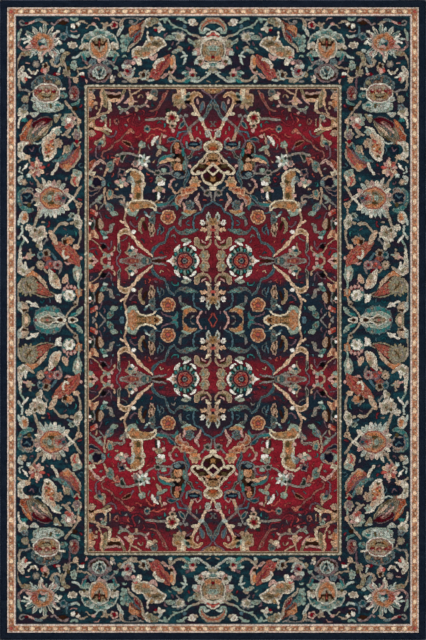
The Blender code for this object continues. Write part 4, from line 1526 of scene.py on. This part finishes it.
stroke("sage", (132, 1096, 6), (142, 1096, 9), (148, 1092, 4))
stroke("sage", (172, 1130, 8), (180, 1122, 10), (180, 1112, 5))
disc("slate", 124, 1062, 21, 20)
disc("cream", 123, 1059, 17, 16)
disc("khaki", 128, 1061, 9, 8)
stroke("mist", (138, 1074, 6), (150, 1072, 8))
stroke("sage", (148, 1056, 10), (162, 1058, 18), (176, 1054, 8))
line("mauve", 6, (172, 1074), (180, 1064), (178, 1056))
stroke("fog", (112, 1046, 6), (128, 1042, 7), (136, 1032, 5))
disc("tan", 124, 1014, 11, 11)
stroke("sage", (130, 1010, 12), (142, 1004, 16), (152, 1000, 6))
line("mist", 6, (116, 1006), (106, 994), (102, 984))
stroke("mist", (98, 988, 7), (112, 986, 8), (120, 982, 4))
stroke("mist", (102, 984, 6), (104, 970, 9), (110, 958, 5))
# shaded crescent and flower
stroke("khaki", (206, 1118, 12), (224, 1120, 30), (240, 1112, 28), (250, 1104, 12))
line("cream", 7, (232, 1136), (250, 1122), (256, 1106), (246, 1096))
stroke("mist", (204, 1112, 8), (194, 1102, 9), (190, 1090, 6))
stroke("cream", (184, 1088, 7), (200, 1092, 16), (202, 1076, 7))
disc("tan", 216, 1092, 8, 5)
disc("crimson", 214, 1084, 7, 4)
# peach bud
stroke("cream", (180, 1032, 10), (200, 1038, 38), (226, 1028, 58), (250, 1004, 48), (282, 1002, 40),
       (296, 990, 16))
stroke("ochre", (188, 1032, 8), (204, 1036, 26), (230, 1022, 38), (262, 1000, 30), (284, 1000, 22))
disc("peach", 226, 1012, 18, 12)
disc("apricot", 250, 996, 14, 9)
disc("olive", 216, 1034, 12, 8)
disc("khaki", 250, 1014, 16, 8)
disc("tan", 232, 1050, 13, 12)
disc("ochre", 232, 1052, 7, 7)
line("cream", 7, (238, 1046), (246, 1062), (244, 1078))
stroke("pink", (212, 992, 8), (222, 980, 14), (236, 984, 8))
disc("cream", 284, 972, 16, 12)
disc("cream", 276, 960, 10, 8)
disc("rose", 290, 984, 8, 5)
# crimson leaf
stroke("peach", (150, 986, 12), (152, 966, 24), (150, 944, 14), (160, 928, 14))
stroke("apricot", (154, 978, 8), (156, 962, 14))
striped("rust", "red", "clay", (166, 992, 8), (178, 968, 32), (196, 944, 36), (214, 922, 40),
        (206, 906, 16))
stroke("red", (198, 936, 12), (214, 922, 24), (228, 916, 14))
line("dim", 5, (170, 984), (184, 960), (200, 936))
line("pink", 5, (140, 952), (146, 932), (156, 922))
disc("umber", 156, 935, 6, 6)
stroke("cream", (186, 976, 7), (202, 970, 13), (218, 958, 10), (218, 944, 7))
stroke("pink", (170, 920, 8), (182, 914, 10), (192, 906, 7))
disc("rose", 234, 918, 6, 9)
# pink bud
disc("tan", 80, 922, 17, 18)
disc("pink", 80, 928, 11, 12)
disc("crimson", 76, 917, 8, 6)
stroke("mauve", (88, 938, 10), (98, 944, 10))
disc("teal", 101, 924, 11, 12)
stroke("mist", (104, 926, 6), (114, 923, 9))
line("mist", 8, (8, 930), (24, 912), (40, 902), (54, 894), (80, 897))
line("sage", 8, (54, 908), (70, 904), (90, 908), (104, 900))
stroke("teal", (88, 898, 8), (100, 894, 12), (112, 894, 6))
line("tan", 8, (104, 904), (116, 896), (134, 898), (148, 908), (160, 920))
line("mist", 5, (16, 922), (26, 928))
disc("tan", 160, 902, 8, 9)
disc("mist", 158, 895, 7, 5)
disc("tan", 256, 916, 19, 19)
disc("umber", 256, 918, 11, 10)
line("mist", 5, (242, 936), (250, 926), (252, 908), (268, 902))
stroke("mist", (224, 898, 8), (240, 896, 8))

# 270 to 550 mm across
stroke("sage", (298, 1050, 6), (316, 1058, 26), (330, 1034, 24), (330, 1008, 12))
stroke("teal", (302, 1052, 5), (318, 1052, 16), (326, 1030, 12))
for across, along in ((338, 1060), (342, 1044), (342, 1026), (336, 1010)):
    disc("sage", across, along, 7)
striped("rust", "brick", "umber", (262, 1114, 14), (276, 1092, 30), (296, 1086, 30), (308, 1066, 14))
stroke("tan", (258, 1112, 8), (264, 1086, 12), (272, 1060, 10), (286, 1042, 8), (306, 1026, 10),
       (318, 1006, 8))
stroke("crimson", (272, 1072, 14), (284, 1056, 16), (296, 1040, 6))
stroke("apricot", (286, 1094, 14), (304, 1088, 22), (310, 1076, 10))
line("slate", 4, (276, 1082), (292, 1066), (300, 1048))
line("fog", 6, (262, 1130), (280, 1128), (298, 1132), (326, 1130), (344, 1124), (362, 1124), (380, 1130))
stroke("fog", (280, 1124, 6), (292, 1108, 8), (308, 1110, 6))
disc("fog", 308, 1117, 8, 6)
stroke("tan", (338, 1126, 8), (344, 1108, 12), (346, 1092, 8))
stroke("mist", (336, 1100, 6), (346, 1088, 14), (358, 1066, 8))
disc("pink", 370, 1104, 15, 14)
disc("crimson", 370, 1103, 9, 8)
line("tan", 6, (380, 1106), (396, 1102))
stroke("tan", (396, 1112, 8), (404, 1102, 16), (404, 1088, 8))
stroke("tan", (404, 1106, 8), (418, 1112, 6))
# corner palmette of the end border, mirrored about u = 425
for side in (-1, 1):
    stroke("mauve", (425 + side * 30, 972, 14), (425 + side * 46, 968, 22), (425 + side * 62, 984, 10))
    disc("night", 425 + side * 42, 980, 15, 12)
    disc("sage", 425 + side * 52, 996, 20, 12)
    stroke("teal", (425 + side * 60, 992, 8), (425 + side * 52, 974, 6))
    stroke("mist", (425 + side * 22, 1056, 12), (425 + side * 42, 1062, 26), (425 + side * 62, 1040, 16))
    stroke("teal", (425 + side * 26, 1058, 8), (425 + side * 44, 1056, 18), (425 + side * 60, 1038, 10))
    disc("deep", 425 + side * 52, 1046, 9, 5)
    disc("mist", 425 + side * 30, 1076, 9, 7)
    disc("cream", 425 + side * 54, 1024, 20, 13)
    disc("tan", 425 + side * 48, 1022, 9, 7)
    disc("olive", 425 + side * 57, 1012, 7, 5)
    disc("slate", 425 + side * 26, 965, 13, 14)
disc("sage", 425, 1074, 26, 17)
disc("teal", 425, 1072, 17, 11)
disc("cream", 425, 1020, 41, 46)
stroke("pink", (410, 980, 20), (425, 974, 16), (425, 964, 5))
disc("khaki", 425, 1021, 35, 40)
stroke("apricot", (398, 1034, 8), (404, 1012, 16), (425, 994, 22), (446, 1012, 16), (452, 1034, 8))
stroke("tan", (410, 1024, 7), (425, 1008, 10), (440, 1024, 7))
stroke("umber", (425, 1060, 5), (425, 1038, 12), (425, 1014, 5))
stroke("umber", (398, 1046, 4), (410, 1032, 7), (425, 1030, 9), (440, 1032, 7), (452, 1046, 4))
line("rose", 3, (425, 1044), (425, 1022))
disc("mist", 425, 1062, 9, 6)
line("mist", 6, (412, 1088), (426, 1086), (434, 1096), (447, 1107))
disc("pink", 447, 1107, 7, 6)
line("tan", 5, (452, 1104), (464, 1102), (474, 1092))
line("tan", 6, (472, 1110), (486, 1116), (500, 1116))
disc("cream", 506, 1108, 9, 7)
disc("umber", 512, 1098, 7, 7)
disc("ivory", 524, 1100, 8, 8)
line("sage", 7, (506, 1128), (522, 1124), (536, 1130))
line("slate", 8, (546, 1098), (546, 1076), (532, 1062))
stroke("mist", (500, 1066, 7), (512, 1060, 9), (528, 1064, 8))
# lotus under it
disc("mauve", 425, 924, 43, 35)
disc("umber", 425, 926, 36, 28)
disc("mauve", 425, 932, 34, 22)
disc("mist", 425, 926, 26, 23)
disc("deep", 425, 928, 20, 17)
stroke("mist", (410, 944, 5), (414, 928, 6), (425, 916, 4))
stroke("mist", (440, 944, 5), (436, 928, 6), (425, 916, 4))
disc("ink", 425, 914, 4, 6)
disc("fog", 388, 932, 7, 9)
disc("fog", 462, 932, 7, 9)
line("fog", 6, (356, 934), (364, 946), (376, 956), (386, 970))
line("tan", 6, (458, 954), (472, 946), (490, 942), (508, 940))
stroke("sage", (360, 944, 8), (370, 940, 6))
disc("khaki", 346, 920, 11, 11)
disc("cream", 376, 904, 8, 11)
disc("tan", 378, 893, 6, 6)
stroke("fog", (366, 914, 5), (372, 906, 6))
disc("ivory", 317, 948, 11, 9)
disc("mist", 332, 950, 9, 10)
disc("mauve", 304, 966, 13, 9)
disc("pink", 298, 962, 8, 6)
disc("mauve", 322, 964, 12, 9)
disc("pink", 316, 928, 20, 16)
disc("mauve", 312, 932, 12, 12)
disc("crimson", 322, 933, 7, 7)
line("mist", 7, (300, 926), (304, 914), (318, 908), (334, 914), (344, 926))
stroke("mist", (294, 942, 6), (302, 932, 5))
line("tan", 8, (270, 908), (290, 902), (312, 902), (330, 908))
stroke("tan", (290, 894, 10), (308, 896, 14), (318, 900, 8))
stroke("fog", (324, 892, 7), (338, 894, 7))
disc("tan", 256, 930, 5, 5)

disc("cream", 526, 1029, 17, 12)
disc("tan", 524, 1027, 8, 7)
stroke("mist", (500, 992, 6), (508, 984, 9), (522, 982, 8))
disc("slate", 560, 1062, 14, 14)
disc("deep", 562, 1060, 6, 7)
disc("mist", 564, 1008, 7, 6)
# great corner flower
for i in range(24):
    angle = 15 * i + (6, -4, 3)[i % 3]
    far = (68, 56, 74, 62)[i % 4] if 20 < angle < 300 else 58
    ray(("mist", "ivory", "sage", "cream", "mist")[i % 5], 636, 1040, angle, 34, far, 11)
    ray(("moss", "tan", "deep")[i % 3], 636, 1040, angle, 36, far - 9, 4)
line("pink", 7, (582, 1080), (594, 1062), (600, 1040), (598, 1022), (612, 1012), (630, 1000), (642, 984))
stroke("ivory", (576, 1078, 6), (586, 1080, 8), (600, 1064, 5))
stroke("ivory", (568, 1036, 6), (578, 1042, 8), (586, 1032, 5))
stroke("cream", (640, 972, 7), (650, 992, 10), (644, 1006, 6))
disc("peach", 641, 1040, 42, 35)
disc("rust", 641, 1040, 39, 32)
disc("apricot", 637, 1044, 34, 28)
disc("rose", 668, 1034, 15, 17)
disc("brick", 670, 1032, 9, 10)
disc("tan", 634, 1036, 21, 20)
disc("slate", 638, 1038, 17, 16)
disc("deep", 644, 1032, 10, 8)
disc("mist", 634, 1044, 8, 8)
disc("pink", 636, 1024, 12, 5)
disc("sage", 626, 1032, 5, 8)
line("ivory", 8, (684, 1036), (694, 1043), (708, 1037))
stroke("ivory", (680, 1052, 6), (688, 1060, 9), (698, 1068, 6))
stroke("mist", (690, 1054, 6), (704, 1052, 7), (714, 1052, 5))
line("mauve", 9, (704, 1012), (722, 1018), (728, 1034), (722, 1052))
line("pink", 5, (680, 1014), (698, 1008), (716, 1012), (722, 1022))
stroke("pink", (682, 1026, 12), (694, 1020, 12))
stroke("sage", (718, 1088, 6), (726, 1070, 10), (728, 1048, 8))
disc("khaki", 688, 998, 12, 7)
disc("khaki", 706, 996, 14, 9)
line("mist", 6, (668, 1004), (678, 994), (684, 984))
# leaves along the corner's edges
disc("umber", 562, 1114, 16, 10)
line("mauve", 7, (542, 1118), (554, 1126), (572, 1124), (584, 1112), (594, 1104), (604, 1110))
line("tan", 7, (620, 1108), (634, 1114), (648, 1118))
stroke("slate", (640, 1124, 6), (660, 1122, 10), (676, 1114, 6))
stroke("pink", (672, 1116, 7), (686, 1112, 9), (696, 1106, 5))
line("fog", 6, (698, 1102), (710, 1104), (720, 1106), (724, 1114), (716, 1122), (708, 1116))
disc("crimson", 698, 1110, 5, 4)
BORDER_U, BORDER_V = (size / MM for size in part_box("pile_main_border")[1].xy)
BARE_EDGE = 6.25  # kept free of motifs, beside the outer guard
LEAF_ROOM = 6
BORDER_LEAVES = ("slate", "teal", "sage", "mauve", "fog", "tan", "deep", "dim", "pink")
scatter(GUARD_U + LEAF_ROOM, BORDER_U - LEAF_ROOM, 0, BORDER_V - LEAF_ROOM, 1500, 31, BORDER_LEAVES)
scatter(0, GUARD_U, GUARD_V + LEAF_ROOM, BORDER_V - LEAF_ROOM, 900, 32, BORDER_LEAVES)
motif_cover[:, int((BORDER_U - BARE_EDGE) / CELL) :] = 0
motif_cover[int((BORDER_V - BARE_EDGE) / CELL) :] = 0


def border_ground(u, v, clouds):
    """Lots of near-black blue, greenish blue and plum, run together."""
    lots = ((-1, "#281e2a"), (-0.4, "#1b212c"), (0, "#18262f"), (0.4, "#182f38"), (1, "#1b3e45"))
    return between(clouds, lots)


border_look = cut_pile("heatset_cut_pile_border", 0.02)
border_x, border_y = (round(size / KNOT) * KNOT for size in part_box("pile_main_border")[1].xy)
colours = woven(border_ground)
for name, side_x, side_y in (("far_right", 1, 1), ("far_left", -1, 1), ("near_left", -1, -1),
                             ("near_right", 1, -1)):
    strips = []
    for near_x, near_y in ((0, guard_y), (guard_x, 0)):
        far_y = border_y if near_y else guard_y
        xs, ys = sorted((side_x * near_x, side_x * border_x)), sorted((side_y * near_y, side_y * far_y))
        strips.append((xs[0], ys[0], xs[1], ys[1]))
    zone_pile("border_pile_" + name, "pile_main_border", "border_pile", border_look, colours, strips)

# Outer guard. A bright stripe of brass-coloured cut pile between two pale lines, with a row of peach
# blocks, and clay hooks between them. It lies outside the border and keeps the same pile height.
OUTER_U, OUTER_V = (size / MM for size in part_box("pile_outer_guard")[1].xy)
OUTER_MIDDLE = (OUTER_U - BORDER_U) / 2
BLOCKS_ALONG_SIDE, BLOCKS_ALONG_END = 22.6, 17.5
CORNER_ROOM = 8
# One repeat: a clay hook with a peach eye, small clay curls, and a peach block with a paler heart. Each
# has its share of the pitch, its yarn, how far out it lies, and its half length and half breadth.
GUARD_REPEAT = (
    (0.16, "clay", 0, 8, 7), (0.16, "peach", 2, 5, 3), (0.41, "clay", -5, 3, 3), (0.91, "clay", 5, 3, 3),
    (0.66, "peach", 0, 12, 8.5), (0.66, "blossom", 0, 8.5, 6.5),
)
motif_cover[:] = 0
stripe("ink", OUTER_U, OUTER_V, 2.5)
stripe("shell", OUTER_U - 2.5, OUTER_V - 2.5, 5)
stripe("brass", OUTER_U - 7.5, OUTER_V - 7.5, 20)
stripe("shell", OUTER_U - 27.5, OUTER_V - 27.5, 6.25)
stripe("moss", OUTER_U - 33.75, OUTER_V - 33.75, 1.25)
for half_long, other, blocks, along_side in (
    (OUTER_V - OUTER_MIDDLE, OUTER_U - OUTER_MIDDLE, BLOCKS_ALONG_SIDE, True),
    (OUTER_U - OUTER_MIDDLE, OUTER_V - OUTER_MIDDLE, BLOCKS_ALONG_END, False),
):
    pitch = half_long / blocks
    for i in range(int(blocks) + 1):
        for offset, yarn, far, reach, breadth in GUARD_REPEAT:
            place = (i + offset) * pitch
            if place < half_long - CORNER_ROOM and along_side:
                disc(yarn, other + far, place, breadth, reach)
            elif place < half_long - CORNER_ROOM:
                disc(yarn, place, other + far, reach, breadth)
disc("clay", OUTER_U - OUTER_MIDDLE, OUTER_V - OUTER_MIDDLE, 11)
disc("rose", OUTER_U - OUTER_MIDDLE, OUTER_V - OUTER_MIDDLE, 6)
outer_x, outer_y = (round(size / KNOT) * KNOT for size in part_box("pile_outer_guard")[1].xy)
colours = woven(plain("#bd8763"))
zone_pile("outer_guard_pile", "pile_outer_guard", "outer_guard_pile", guard_look, colours,
          ring(outer_x, outer_y, border_x, border_y))

# Edge band. A plain navy stripe of cut pile round the whole rug, two lots of yarn run together. Its
# outermost tufts lean out over the serging.
EDGE_SPLAY = 1.2 * MM
motif_cover[:] = 0
edge_look = cut_pile("heatset_cut_pile_edge", 0.02)
edge_x, edge_y = (math.floor(size / KNOT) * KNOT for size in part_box("pile_edge_band")[1].xy)
colours = woven(lambda u, v, clouds: between(clouds, ((-1, "#131b28"), (1, "#1a222e"))))
zone_pile("edge_band_pile", "pile_edge_band", "edge_band_pile", edge_look, colours,
          ring(edge_x, edge_y, outer_x, outer_y), EDGE_SPLAY)

# Floor and cloth. The floor is plain and pale. Every layer of the rug goes with the one cloth, which
# is woven 1.60 x 2.40 m and laid flat on it.
FLOOR_HALF = 12
floor_mesh = bpy.data.meshes.new("floor")
bm = bmesh.new()
bmesh.ops.create_grid(bm, x_segments=1, y_segments=1, size=FLOOR_HALF)
bm.to_mesh(floor_mesh)
bm.free()
floor = bpy.data.objects.new("floor", floor_mesh)
bpy.context.scene.collection.objects.link(floor)
floor_paint, tree, shader = material("pale_painted_floor", "#dcd9d4", roughness=0.8, specular=0.2)
floor_mesh.materials.append(floor_paint)
width, length = (2 * rug_half[k] for k in (0, 1))

# Studio. Soft light from a pale room, and from two broad square panels overhead: a key and a fill.
room = bpy.data.worlds.new("pale_room")
room.use_nodes = True
room.node_tree.nodes["Background"].inputs["Color"].default_value = (*linear("#f2f3f5"), 1)
room.node_tree.nodes["Background"].inputs["Strength"].default_value = 0.45
bpy.context.scene.world = room
for name, place, size, watts in (("key_panel", (-2.2, 1.6, 4.2), 3.0, 122),
                                 ("fill_panel", (2.4, -1.4, 4.6), 4.0, 90)):
    panel = bpy.data.lights.new(name, "AREA")
    panel.shape, panel.size, panel.energy = "SQUARE", size, watts
    lamp = bpy.data.objects.new(name, panel)
    lamp.location = place
    lamp.rotation_euler = (Vector((0, 0, 0)) - lamp.location).to_track_quat("-Z", "Y").to_euler()
    bpy.context.scene.collection.objects.link(lamp)

# Camera. Straight down on the rug from far off, so that it fills the frame edge to edge.
LENS, SENSOR = 180.0, 36.0
FRAME_CROP = 4.5 * MM  # the frame ends inside the rounded serging of the two ends
view_length = length - FRAME_CROP
camera = bpy.data.objects.new("camera", bpy.data.cameras.new("camera"))
camera.data.lens, camera.data.sensor_width = LENS, SENSOR
camera.data.clip_end = 100
camera.location = (0, 0, cad_box[1][2] + view_length * LENS / SENSOR)
bpy.context.scene.collection.objects.link(camera)
bpy.context.scene.camera = camera
bpy.context.scene.view_settings.view_transform = "Standard"
